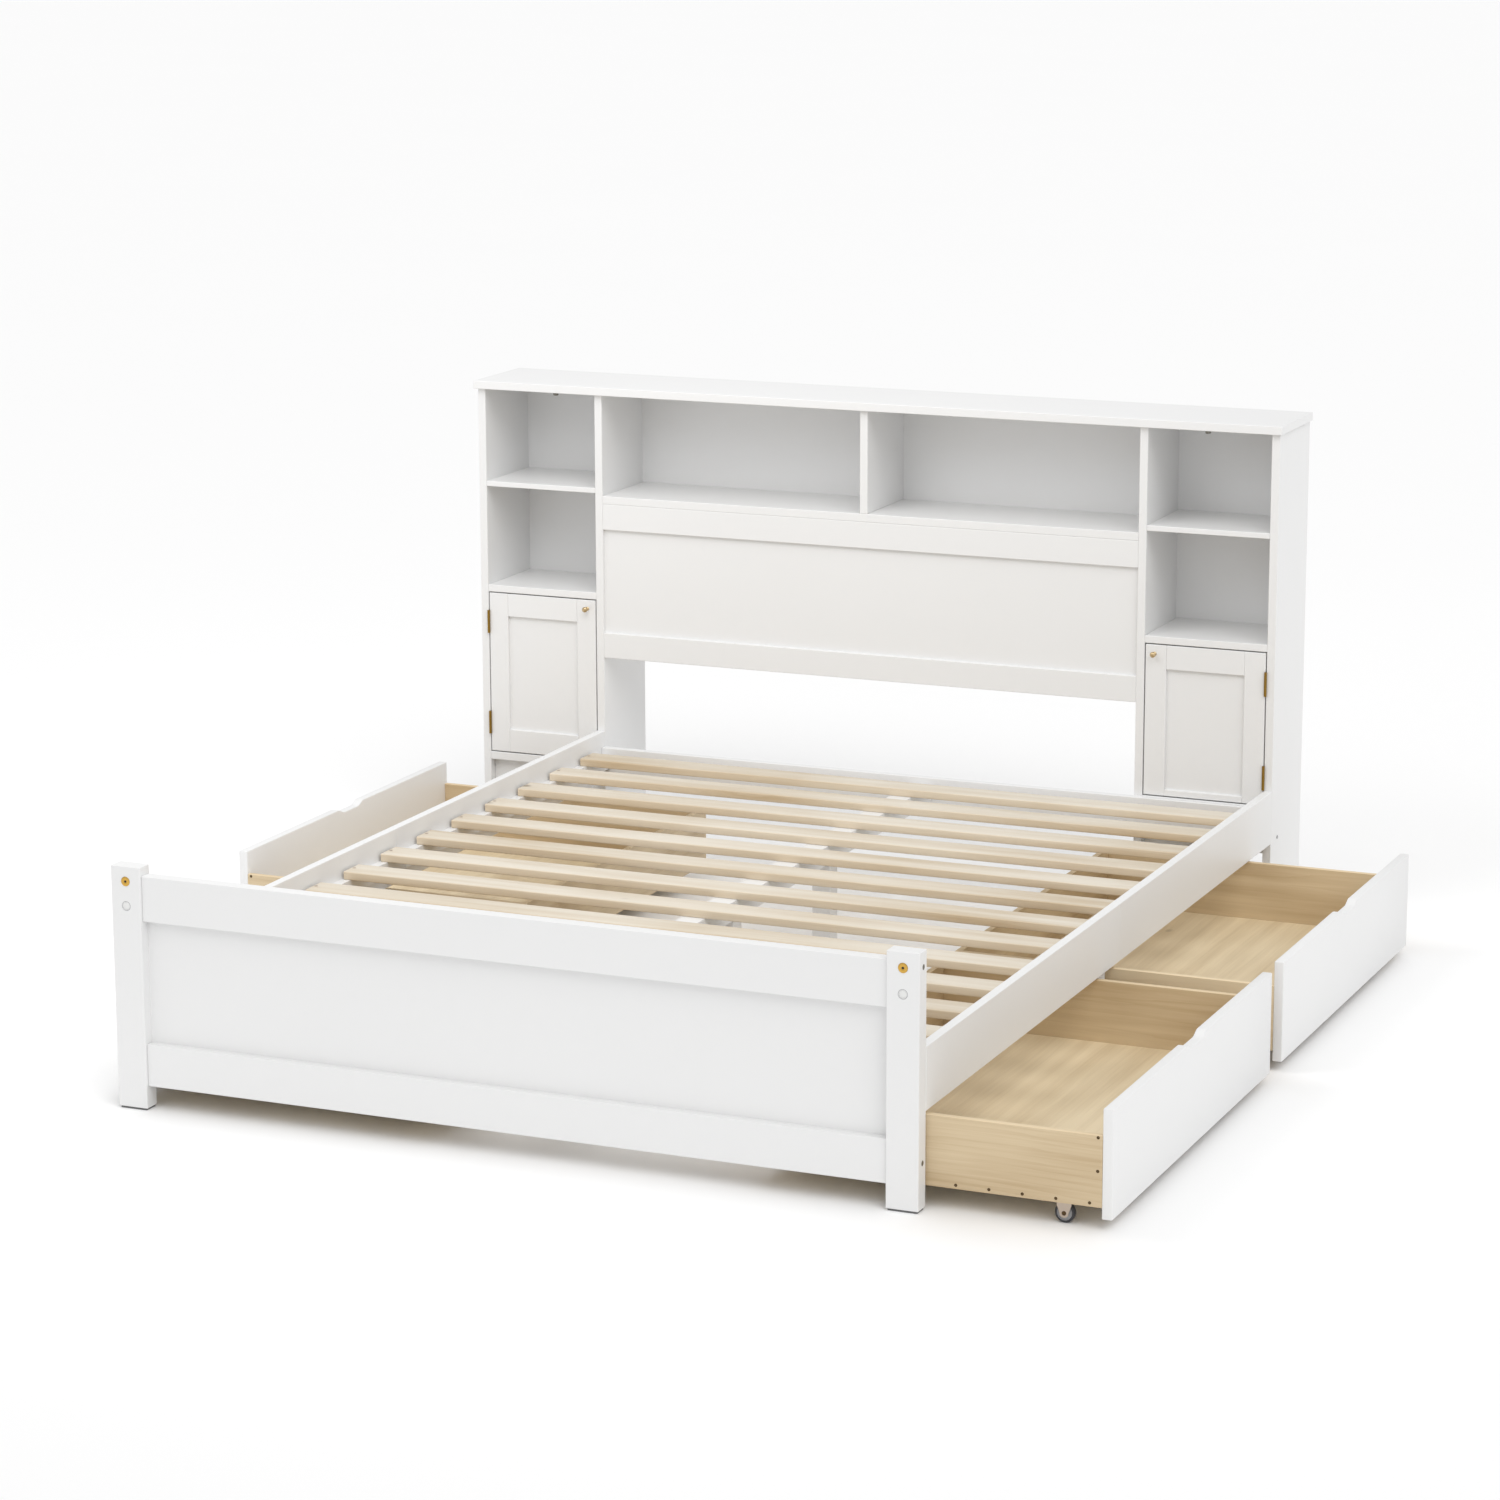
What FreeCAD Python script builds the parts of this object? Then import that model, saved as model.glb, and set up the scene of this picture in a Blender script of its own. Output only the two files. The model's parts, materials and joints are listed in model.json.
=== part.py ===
import FreeCAD, Part
import os

# Queen platform bed with a bookcase headboard and four storage drawers on casters.
# Units are millimetres. +Z is up and +Y runs from the footboard to the headboard.
# The origin is on the floor, under the middle of the bed at rest, which has both right
# drawers and the far left drawer pulled out by DRAWER_PULL.

Vec = FreeCAD.Vector
X_AXIS, Y_AXIS, Z_AXIS = Vec(1, 0, 0), Vec(0, 1, 0), Vec(0, 0, 1)

# ---- driving dimensions -----------------------------------------------------------------
BED_WIDTH = 1575.0          # outside of the side rails, for a 1524 x 2032 mattress
BED_LENGTH = 2070.0         # footboard face to headboard face
HEAD_DEPTH = 220.0          # bookcase depth, front to back
BOARD = 18.0                # uprights, rails, doors and top
EASE = 1.5                  # rounded edges of the painted boards

POST_WIDTH = 60.0
POST_DEPTH = 34.0
POST_HEIGHT = 460.0
FOOT_RAIL_INSET = 6.0       # footboard rails behind the faces of the posts
FOOT_RAIL_DEPTH = 26.0
FOOT_TOP_RAIL = (358.0, 443.0)
FOOT_BOTTOM_RAIL = (46.0, 126.0)
FOOT_PANEL_INSET = 23.0
FOOT_PANEL_DEPTH = 8.0
GLIDE_HEIGHT = 4.0

SIDE_RAIL = (174.0, 289.0)  # lowest and highest edge
RAIL_JOINT = 1066.0         # where the two lengths of a side rail meet, from the footboard
SLAT_TOP = 255.0
SLAT_DEPTH = 17.0
SLAT_WIDTH = 66.0
SLAT_COUNT = 13
SLAT_FIRST = 45.0           # front edge of the first and the last slat, from the footboard
SLAT_LAST = 1928.0
SLAT_END_GAP = 6.0
LEDGE = (20.0, 30.0)        # slat ledge: across and high
CENTER_RAIL = (48.0, 40.0)  # centre support: across and high
CROSS_RAIL_TOP = 254.0
LEG_SIZE = 40.0
CENTER_LEGS = (500.0, 1000.0, 1500.0)   # middles of the legs, from the footboard
SIDE_LEG = 995.0
SIDE_LEG_OFFSET = 6.0       # outer face of a side leg, beyond the inner face of its rail
GLIDE_RADIUS = 12.0
SCREW_SHANK = 1.5
SCREW_HEAD = (4.0, 2.5)     # radius and depth of a countersunk head
SCREW_LENGTH = 32.0

HEAD_LEFT = -1075.0         # outer face of the left cabinet; the right one ends at the rail
PANEL_RIGHT = 482.0         # right end of the framed back rest
HEAD_TOP = 1050.0           # underside of the top board
TOP_OVERHANG_SIDE = 6.0
TOP_OVERHANG_FRONT = 12.0
BACK_PANEL = 5.0
UPPER_SHELF = (829.0, 841.0)
LOWER_SHELF = (588.0, 604.0)
CENTER_SHELF = (806.0, 824.0)
PANEL_TOP_RAIL = 748.0      # lower edge of the rail under the centre shelf
PANEL_BOTTOM_RAIL = (457.0, 514.0)
PANEL_INSET = 8.0
PANEL_DEPTH = 12.0

DOOR_GAP = 2.5
DOOR_STILE = 46.0
DOOR_RAIL = 52.0
RIGHT_DOOR_LOW_RAIL = 14.0  # a slim lower rail, because the deck stands close under that door
DOOR_PANEL_INSET = 7.0
LEFT_DOOR_BOTTOM = 220.0
RIGHT_DOOR_BOTTOM = 258.0
HINGE_HEIGHT = 52.0
HINGE_RADIUS = 3.0
HINGE_PIN = 1.4
HINGE_INSET = 40.0          # hinge to the end of its door
RIGHT_HINGE_LOW_INSET = 33.0   # just above the side rail
KNOB_HEIGHT = 566.0         # height of the knob's centre
KNOB_INSET = 20.0           # knob to the free edge of its door
KICK_HEIGHT = 90.0
KICK_INSET = 20.0
CATCH = (30.0, 16.0, 14.0)  # door catch: across, deep and high
CATCH_INSET = 12.0

DRAWER_PULL = 314.0         # how far the open drawers stand out at rest
FRONT_THICK = 19.0
FRONT_GAP = 1.0             # between a closed front and the side rail
FRONT = (21.0, 216.0)
BOX = (41.0, 168.0)
BOX_DEPTH = 640.0
BOX_BOARD = 12.0
BOX_BOTTOM = 6.0
DRAWER_ENDS = ((38.0, 957.0), (1034.0, 1938.0))   # near and far drawer, from the footboard
SCOOP = (116.0, 74.0, 9.0)   # finger scoop: width at its top, at its floor, and its depth

WHEEL_RADIUS = 18.0
WHEEL_WIDTH = 12.0
AXLE_RADIUS = 2.5
AXLE_FIT = 0.08
FORK_PLATE = (34.0, 30.0, 2.0)   # along the drawer's travel, along the axle, and thick
FORK_CHEEK = (26.0, 1.6)    # width and sheet thickness
FORK_DROP = 8.0             # foot of a cheek, below the axle
FORK_PLAY = 1.2             # between a wheel and each cheek
AXLE_HEAD = 1.0             # how far an axle's ends stand out of its fork
WHEEL_INSET = 72.0          # axle line, from the inner face of a front or the back of a box
# middle of a wheel, from the end of its drawer: only the right drawers have theirs in the front corners
WHEEL_SIDES = {"right": {"front": 24.0, "rear": 190.0}, "left": {"front": 190.0, "rear": 190.0}}

HALF = BED_WIDTH / 2
RAIL_INNER = HALF - BOARD
FOOT_Y = -(BED_LENGTH + HEAD_DEPTH) / 2
HEAD_Y = FOOT_Y + BED_LENGTH
BACK_Y = HEAD_Y + HEAD_DEPTH
PANEL_LEFT = -RAIL_INNER
LEFT_CABINET = (HEAD_LEFT + BOARD, -HALF)
RIGHT_CABINET = (PANEL_RIGHT + BOARD, RAIL_INNER)
SIDES = {"left": -1, "right": 1}
DOORS = {"left": (LEFT_CABINET, LEFT_DOOR_BOTTOM), "right": (RIGHT_CABINET, RIGHT_DOOR_BOTTOM)}
# each drawer: its side of the bed, its ends along the bed, and how far it is out at rest
DRAWERS = {
    "near_right_drawer": ("right", DRAWER_ENDS[0], DRAWER_PULL),
    "far_right_drawer": ("right", DRAWER_ENDS[1], DRAWER_PULL),
    "near_left_drawer": ("left", DRAWER_ENDS[0], 0.0),
    "far_left_drawer": ("left", DRAWER_ENDS[1], DRAWER_PULL),
}


# ---- helpers ----------------------------------------------------------------------------
def block(x, y, z, ease=0.0):
    """A board between pairs of coordinates, with its edges rounded by ease."""
    solid = Part.makeBox(x[1] - x[0], y[1] - y[0], z[1] - z[0], Vec(x[0], y[0], z[0]))
    if ease:
        solid = solid.makeFillet(ease, solid.Edges)
    return solid


def rod(radius, length, start, axis):
    """A round bar from start along axis."""
    return Part.makeCylinder(radius, length, Vec(*start), axis)


def group(solids):
    """Separate solids that make one sub-part."""
    return Part.makeCompound(solids)


def mirrored(solid):
    """The same piece on the other side of the bed."""
    return solid.mirror(Vec(0, 0, 0), X_AXIS)


def both_sides(solids):
    """The right side's solids and their mirror images."""
    return group(solids + [mirrored(solid) for solid in solids])


def span(start, length):
    return (start, start + length)


def write(name, shape):
    shape.exportStep(os.path.join("parts", name + ".step"))


# ---- footboard --------------------------------------------------------------------------
BOLT_HEIGHTS = (432.0, 86.0)   # upper bolts into the top rail, lower ones into the bottom rail
CAP_HEIGHT = 386.0
NUT_RADIUS = 9.0
NUT_LENGTH = 18.0
NUT_SOCKET = (3.2, 6.0)        # radius and depth
BOLT_HEAD = (5.0, 4.0)         # radius and thickness
BOLT_RADIUS = 3.0
BOLT_LENGTH = POST_WIDTH + 34.0
POST_MIDDLE = HALF - POST_WIDTH / 2
BOLT_Y = FOOT_Y + FOOT_RAIL_INSET + FOOT_RAIL_DEPTH / 2
CAP_RADIUS = 8.5
CAP_DEPTH = 3.0
FIT = 0.1                      # clearance of fasteners in their holes


def bolt(height, grow=0.0):
    """A rail bolt through the right post from its outer side, and its counterbore if grown."""
    head_radius, head = BOLT_HEAD
    shank = rod(BOLT_RADIUS + grow, BOLT_LENGTH + grow, (HALF - 1.0, BOLT_Y, height), -X_AXIS)
    return shank.fuse(rod(head_radius + grow, head + 1.0, (HALF, BOLT_Y, height), -X_AXIS))


def barrel_nut(height):
    """A brass barrel nut, set in the face of the right post across its bolt."""
    nut = rod(NUT_RADIUS, NUT_LENGTH, (POST_MIDDLE, FOOT_Y, height), Y_AXIS)
    socket = rod(*NUT_SOCKET, (POST_MIDDLE, FOOT_Y, height), Y_AXIS)
    bore = rod(BOLT_RADIUS + FIT, 4 * NUT_RADIUS, (POST_MIDDLE + 2 * NUT_RADIUS, BOLT_Y, height), -X_AXIS)
    return nut.cut(socket).cut(bore)


def footboard_post():
    post = block((HALF - POST_WIDTH, HALF), span(FOOT_Y, POST_DEPTH), (GLIDE_HEIGHT, POST_HEIGHT), EASE)
    for height in BOLT_HEIGHTS:
        post = post.cut(bolt(height, FIT))
    post = post.cut(rod(NUT_RADIUS + FIT, NUT_LENGTH + FIT, (POST_MIDDLE, FOOT_Y, BOLT_HEIGHTS[0]), Y_AXIS))
    return post.cut(rod(CAP_RADIUS + FIT, CAP_DEPTH, (POST_MIDDLE, FOOT_Y, CAP_HEIGHT), Y_AXIS))


def footboard_rail(heights, bolt_height):
    """A rail between the posts, with a blind hole in each end for its bolt."""
    inner = HALF - POST_WIDTH
    rail = block((-inner, inner), span(FOOT_Y + FOOT_RAIL_INSET, FOOT_RAIL_DEPTH), heights, EASE)
    hole = bolt(bolt_height, FIT)
    return rail.cut(hole).cut(mirrored(hole))


def footboard():
    inner = HALF - POST_WIDTH
    panel_z = (FOOT_BOTTOM_RAIL[1], FOOT_TOP_RAIL[0])
    write("footboard_posts", both_sides([footboard_post()]))
    write("footboard_top_rail", footboard_rail(FOOT_TOP_RAIL, BOLT_HEIGHTS[0]))
    write("footboard_bottom_rail", footboard_rail(FOOT_BOTTOM_RAIL, BOLT_HEIGHTS[1]))
    panel_y = span(FOOT_Y + FOOT_PANEL_INSET, FOOT_PANEL_DEPTH)
    write("footboard_panel", block((-inner, inner), panel_y, panel_z))
    write("footboard_bolts", both_sides([bolt(height) for height in BOLT_HEIGHTS]))
    write("barrel_nuts", both_sides([barrel_nut(BOLT_HEIGHTS[0])]))
    write("bolt_caps", both_sides([rod(CAP_RADIUS, CAP_DEPTH, (POST_MIDDLE, FOOT_Y, CAP_HEIGHT), Y_AXIS)]))


# ---- side rails, slats and their supports -----------------------------------------------
def leg_y(distance):
    return span(FOOT_Y + distance - LEG_SIZE / 2, LEG_SIZE)


def side_rail():
    """A side rail in two lengths, which meet over the middle leg."""
    joint = FOOT_Y + RAIL_JOINT
    lengths = ((FOOT_Y + POST_DEPTH, joint), (joint, HEAD_Y))
    return [block((RAIL_INNER, HALF), y, SIDE_RAIL, EASE) for y in lengths]


def slat_starts():
    pitch = (SLAT_LAST - SLAT_FIRST) / (SLAT_COUNT - 1)
    return [FOOT_Y + SLAT_FIRST + i * pitch for i in range(SLAT_COUNT)]


def slat_screws():
    """One screw down through each end of each slat into the ledge under it."""
    x = RAIL_INNER - LEDGE[0] / 2 - 2.0
    screws = []
    for start in slat_starts():
        middle = start + SLAT_WIDTH / 2
        head = Part.makeCone(SCREW_SHANK, *SCREW_HEAD, Vec(x, middle, SLAT_TOP - SCREW_HEAD[1]))
        shank = rod(SCREW_SHANK, SCREW_LENGTH, (x, middle, SLAT_TOP - SCREW_LENGTH), Z_AXIS)
        screws.append(head.fuse(shank))
    return screws


def slats(screws):
    """The slats, each drilled and countersunk for its two screws."""
    inner = RAIL_INNER - SLAT_END_GAP
    made = []
    for start, screw in zip(slat_starts(), screws):
        slat = block((-inner, inner), span(start, SLAT_WIDTH), (SLAT_TOP - SLAT_DEPTH, SLAT_TOP), 2.0)
        made.append(slat.cut(screw).cut(mirrored(screw)))
    return group(made)


def ledge(screws):
    """The strip along a side rail that carries the slats, in two lengths."""
    top = SLAT_TOP - SLAT_DEPTH
    joint = FOOT_Y + RAIL_JOINT
    ends = ((FOOT_Y + POST_DEPTH + 2.0, joint - 1.0), (joint + 1.0, HEAD_Y - BOARD - 2.0))
    strips = [block((RAIL_INNER - LEDGE[0], RAIL_INNER), y, (top - LEDGE[1], top)) for y in ends]
    return [strip.cut(group(screws)) for strip in strips]


def deck():
    under_slats = SLAT_TOP - SLAT_DEPTH
    screws = slat_screws()
    rail = side_rail()
    write("right_side_rail", group(rail))
    write("left_side_rail", group([mirrored(solid) for solid in rail]))
    write("slats", slats(screws))
    write("slat_screws", both_sides(screws))
    write("slat_ledges", both_sides(ledge(screws)))

    center_y = (FOOT_Y + FOOT_RAIL_INSET + FOOT_RAIL_DEPTH, HEAD_Y - BOARD)
    center_z = (under_slats - CENTER_RAIL[1], under_slats)
    write("center_support_rail", block((-CENTER_RAIL[0] / 2, CENTER_RAIL[0] / 2), center_y, center_z, EASE))
    write("head_cross_rail", block((-RAIL_INNER, RAIL_INNER), (HEAD_Y - BOARD, HEAD_Y),
                                   (SIDE_RAIL[0], CROSS_RAIL_TOP), EASE))

    legs = [block((-LEG_SIZE / 2, LEG_SIZE / 2), leg_y(y), (GLIDE_HEIGHT, center_z[0]), EASE)
            for y in CENTER_LEGS]
    side_x = span(RAIL_INNER + SIDE_LEG_OFFSET - LEG_SIZE, LEG_SIZE)
    side_leg = block(side_x, leg_y(SIDE_LEG), (GLIDE_HEIGHT, SIDE_RAIL[0]), EASE)
    write("support_legs", group(legs + [side_leg, mirrored(side_leg)]))


BRACKET_HEIGHTS = (182.0, 200.0)
BRACKET_ARMS = (42.0, 30.0)    # along the rail and across the bed
BRACKET_SHEET = 2.0


def corner_brackets():
    """Steel angles that bolt the ends of the side rails to the posts and the uprights."""
    made = []
    long_arm, short_arm = BRACKET_ARMS
    for corner, way in ((FOOT_Y + POST_DEPTH, 1), (HEAD_Y - BOARD, -1)):
        along = sorted((corner, corner + way * long_arm))
        across = sorted((corner, corner + way * BRACKET_SHEET))
        angle = block((RAIL_INNER - BRACKET_SHEET, RAIL_INNER), along, BRACKET_HEIGHTS)
        angle = angle.fuse(block((RAIL_INNER - short_arm, RAIL_INNER), across, BRACKET_HEIGHTS))
        made.append(angle.removeSplitter())
    write("corner_brackets", both_sides(made))


def foot_glides():
    """Plastic glides under the posts and the legs."""
    high = (0, GLIDE_HEIGHT)
    post_pad = 3.0
    head_pad = (2.0, 6.0)
    pads = [rod(GLIDE_RADIUS, GLIDE_HEIGHT, (0, FOOT_Y + y, 0), Z_AXIS) for y in CENTER_LEGS]
    side_x = RAIL_INNER + SIDE_LEG_OFFSET - LEG_SIZE / 2
    side = [rod(GLIDE_RADIUS, GLIDE_HEIGHT, (side_x, FOOT_Y + SIDE_LEG, 0), Z_AXIS)]
    post_x = (HALF - POST_WIDTH + post_pad, HALF - post_pad)
    side.append(block(post_x, span(FOOT_Y + post_pad, POST_DEPTH - 2 * post_pad), high))
    for x in (HEAD_LEFT, -HALF, PANEL_RIGHT, RAIL_INNER):
        upright_x = span(x + head_pad[0], BOARD - 2 * head_pad[0])
        pads.append(block(upright_x, (HEAD_Y + head_pad[1], BACK_Y - head_pad[1]), high))
    write("foot_glides", group(pads + side + [mirrored(solid) for solid in side]))


# ---- bookcase headboard -----------------------------------------------------------------
INNER_BACK = BACK_Y - BACK_PANEL


def shelf(x, z, front=0.0):
    return block(x, (HEAD_Y + front, INNER_BACK), z, EASE)


def uprights():
    places = {"left_outer_upright": HEAD_LEFT, "left_inner_upright": -HALF,
              "right_inner_upright": PANEL_RIGHT, "right_outer_upright": RAIL_INNER}
    for name, x in places.items():
        write(name, block(span(x, BOARD), (HEAD_Y, BACK_Y), (GLIDE_HEIGHT, HEAD_TOP), EASE))


def cabinets():
    """Two shelves over the door, and below it a floor and a kick board."""
    for side, (x, bottom) in DOORS.items():
        floor = (bottom - DOOR_GAP - BOARD, bottom - DOOR_GAP)
        boards = [shelf(x, UPPER_SHELF), shelf(x, LOWER_SHELF), shelf(x, floor)]
        boards.append(block(x, span(HEAD_Y + KICK_INSET, BOARD), (floor[0] - KICK_HEIGHT, floor[0]), EASE))
        write(side + "_cabinet_shelves", group(boards))


def back_rest():
    x = (PANEL_LEFT, PANEL_RIGHT)
    middle = (PANEL_LEFT + PANEL_RIGHT) / 2
    rail_y = span(HEAD_Y, PANEL_INSET + PANEL_DEPTH)
    rails = [block(x, rail_y, z, EASE) for z in ((PANEL_TOP_RAIL, CENTER_SHELF[0]), PANEL_BOTTOM_RAIL)]
    write("center_shelf", shelf(x, CENTER_SHELF))
    write("center_divider", block(span(middle - BOARD / 2, BOARD), (HEAD_Y, INNER_BACK),
                                  (CENTER_SHELF[1], HEAD_TOP), EASE))
    write("back_rest_rails", group(rails))
    write("back_rest_panel", block(x, span(HEAD_Y + PANEL_INSET, PANEL_DEPTH),
                                   (PANEL_BOTTOM_RAIL[1], PANEL_TOP_RAIL)))


def back_panels():
    """Thin backs, let in between the uprights and flush with their rear edges."""
    y = (INNER_BACK, BACK_Y)
    panels = [block((PANEL_LEFT, PANEL_RIGHT), y, (CENTER_SHELF[0], HEAD_TOP))]
    for x, bottom in DOORS.values():
        panels.append(block(x, y, (bottom - DOOR_GAP - BOARD, HEAD_TOP)))
    write("back_panels", group(panels))


def head_top():
    x = (HEAD_LEFT - TOP_OVERHANG_SIDE, HALF + TOP_OVERHANG_SIDE)
    write("headboard_top", block(x, (HEAD_Y - TOP_OVERHANG_FRONT, BACK_Y), span(HEAD_TOP, BOARD), EASE))


# ---- cabinet doors ----------------------------------------------------------------------
PIVOT_Y = HEAD_Y - HINGE_RADIUS
LEAF = 1.2


def door_x(x):
    return (x[0] + DOOR_GAP, x[1] - DOOR_GAP)


def door_frame(x, z, low_rail):
    y = (HEAD_Y, HEAD_Y + BOARD)
    inner = (x[0] + DOOR_STILE, x[1] - DOOR_STILE)
    return group([
        block((x[0], inner[0]), y, z, EASE),
        block((inner[1], x[1]), y, z, EASE),
        block(inner, y, span(z[0], low_rail), EASE),
        block(inner, y, (z[1] - DOOR_RAIL, z[1]), EASE),
    ])


def knob(x):
    """A small turned knob: a stem that swells to a domed head."""
    profile = [(0, 0), (4.4, 0), (2.6, 2.4), (2.6, 7.5), (5.8, 11.5), (6.2, 14.5), (4.8, 17.0), (0, 18.2)]
    points = [Vec(x + radius, HEAD_Y - out, KNOB_HEIGHT) for radius, out in profile]
    face = Part.Face(Part.makePolygon(points + [points[0]]))
    return face.revolve(Vec(x, HEAD_Y, KNOB_HEIGHT), Y_AXIS, 360)


def hinge(pivot_x, inward, base):
    """A butt hinge at a pivot: the fixed half with its pin, and the half that turns.

    The barrel is in thirds: the outer ones are fixed, the middle one turns."""
    third = HINGE_HEIGHT / 3
    pivot = (pivot_x, PIVOT_Y)
    root_y = (PIVOT_Y + HINGE_RADIUS + 0.4, PIVOT_Y + HINGE_RADIUS + 15.0)
    slack = 0.2
    fixed = rod(HINGE_PIN, HINGE_HEIGHT, (*pivot, base), Z_AXIS)
    for z in (base, base + 2 * third):
        fixed = fixed.fuse(rod(HINGE_RADIUS, third, (*pivot, z), Z_AXIS))
        fixed = fixed.fuse(leaf(pivot_x, -inward, (PIVOT_Y, root_y[1]), span(z, third)))
    fixed = fixed.fuse(leaf(pivot_x, -inward, root_y, span(base, HINGE_HEIGHT)))

    middle = (base + third + slack, base + 2 * third - slack)
    turning = rod(HINGE_RADIUS, middle[1] - middle[0], (*pivot, middle[0]), Z_AXIS)
    turning = turning.fuse(leaf(pivot_x, inward, (PIVOT_Y, root_y[1]), middle))
    turning = turning.cut(rod(HINGE_PIN + AXLE_FIT, HINGE_HEIGHT, (*pivot, base), Z_AXIS))
    turning = turning.fuse(leaf(pivot_x, inward, root_y, span(base, HINGE_HEIGHT)))
    return fixed.removeSplitter(), turning.removeSplitter()


def leaf(pivot_x, way, y, z):
    """A hinge leaf beside the plane of the pivot, on the side that way points to."""
    return block(sorted((pivot_x + way * 0.02, pivot_x + way * LEAF)), y, z)


def doors():
    fixed_halves = []
    catches = []
    catch_across, catch_deep, catch_high = CATCH
    for side, (cabinet, bottom) in DOORS.items():
        low_rail, low_hinge = {"left": (DOOR_RAIL, HINGE_INSET),
                               "right": (RIGHT_DOOR_LOW_RAIL, RIGHT_HINGE_LOW_INSET)}[side]
        x = door_x(cabinet)
        z = (bottom, LOWER_SHELF[0] - DOOR_GAP)
        inward = -SIDES[side]
        hinge_edge, free_edge = (x[0], x[1]) if side == "left" else (x[1], x[0])
        write(side + "_door_frame", door_frame(x, z, low_rail))
        write(side + "_door_panel", block((x[0] + DOOR_STILE, x[1] - DOOR_STILE),
                                          span(HEAD_Y + DOOR_PANEL_INSET, 6.0),
                                          (z[0] + low_rail, z[1] - DOOR_RAIL)))
        write(side + "_door_knob", knob(free_edge - inward * KNOB_INSET))
        turning_halves = []
        for base in (z[0] + low_hinge, z[1] - HINGE_INSET - HINGE_HEIGHT):
            fixed, turning = hinge(hinge_edge - inward * DOOR_GAP / 2, inward, base)
            fixed_halves.append(fixed)
            turning_halves.append(turning)
        write(side + "_door_hinges", group(turning_halves))
        catch_x = sorted(free_edge - inward * (CATCH_INSET + reach) for reach in (0, catch_across))
        catch_z = (LOWER_SHELF[0] - catch_high, LOWER_SHELF[0])
        catches.append(block(catch_x, span(HEAD_Y + BOARD + 1.0, catch_deep), catch_z))
    write("hinge_fixed_halves", group(fixed_halves))
    write("door_catches", group(catches))


# ---- drawers ----------------------------------------------------------------------------
FRONT_X = HALF + FRONT_GAP   # inner face of a closed front


def drawer_front(y, out):
    """The front, with a shallow finger scoop in the middle of its top edge."""
    width_top, width_floor, depth = SCOOP
    middle = sum(y) / 2
    front = block(span(FRONT_X + out, FRONT_THICK), y, FRONT, EASE)
    outline = [(-width_top / 2, 1.0), (-width_floor / 2, -depth),
               (width_floor / 2, -depth), (width_top / 2, 1.0)]
    points = [Vec(FRONT_X + out - 1.0, middle + along, FRONT[1] + up) for along, up in outline]
    cutter = Part.Face(Part.makePolygon(points + [points[0]])).extrude(Vec(FRONT_THICK + 2.0, 0, 0))
    return front.cut(cutter)


def drawer_box(y, out):
    """Two sides, a back, a batten behind the front, and a bottom let in between them."""
    x = (FRONT_X + out - BOX_DEPTH, FRONT_X + out)
    inner_y = (y[0] + BOX_BOARD, y[1] - BOX_BOARD)
    inner_x = (x[0] + BOX_BOARD, x[1] - BOX_BOARD)
    return [
        block(x, (y[0], inner_y[0]), BOX, 0.8),
        block(x, (inner_y[1], y[1]), BOX, 0.8),
        block((x[0], inner_x[0]), inner_y, BOX, 0.8),
        block((inner_x[1], x[1]), inner_y, (BOX[0], BOX[0] + 60.0), 0.8),
        block(inner_x, inner_y, span(BOX[0], BOX_BOTTOM)),
    ]


def wheel_lines(out):
    """X of the front and the rear axles of a drawer."""
    return {"front": FRONT_X + out - WHEEL_INSET, "rear": FRONT_X + out - BOX_DEPTH + WHEEL_INSET}


def caster_bracket(x, y):
    """A folded steel fork with its plate under the box, and the axle that it holds."""
    half = WHEEL_WIDTH / 2 + FORK_PLAY
    plate_x, plate_y, plate = FORK_PLATE
    cheek_x, sheet = FORK_CHEEK
    fork = block(span(x - plate_x / 2, plate_x), span(y - plate_y / 2, plate_y), (BOX[0] - plate, BOX[0]))
    for side in (-1, 1):
        cheek_y = sorted((y + side * half, y + side * (half + sheet)))
        cheek = block(span(x - cheek_x / 2, cheek_x), cheek_y, (WHEEL_RADIUS - FORK_DROP, BOX[0] - plate))
        fork = fork.fuse(cheek)
    reach = half + sheet + AXLE_HEAD
    axle = rod(AXLE_RADIUS, 2 * reach, (x, y - reach, WHEEL_RADIUS), Y_AXIS)
    return fork.fuse(axle).removeSplitter()


def wheel(x, y):
    """A roller with a crowned tread, a recessed hub and a bore for its axle."""
    half = WHEEL_WIDTH / 2
    profile = [(AXLE_RADIUS + AXLE_FIT, -half), (7.0, -half), (8.0, -half + 1.5), (12.5, -half + 1.5),
               (13.5, -half), (WHEEL_RADIUS - 1.0, -half), (WHEEL_RADIUS, -half + 2.0)]
    outline = profile + [(radius, -along) for radius, along in reversed(profile)]
    points = [Vec(x, y + along, WHEEL_RADIUS + radius) for radius, along in outline]
    face = Part.Face(Part.makePolygon(points + [points[0]]))
    return face.revolve(Vec(x, y, WHEEL_RADIUS), Y_AXIS, 360)


def drawer(name, side, ends, out):
    y = (FOOT_Y + ends[0], FOOT_Y + ends[1])
    pieces = {
        "front": [drawer_front(y, out)],
        "box": drawer_box(y, out),
        "caster_brackets": [],
    }
    for line, x in wheel_lines(out).items():
        from_end = WHEEL_SIDES[side][line]
        wheel_y = (y[0] + from_end, y[1] - from_end)
        pieces["caster_brackets"] += [caster_bracket(x, at) for at in wheel_y]
        pieces[line + "_wheels"] = [wheel(x, at) for at in wheel_y]
    for piece, solids in pieces.items():
        if side == "left":
            solids = [mirrored(solid) for solid in solids]
        write(name + "_" + piece, group(solids))


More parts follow.
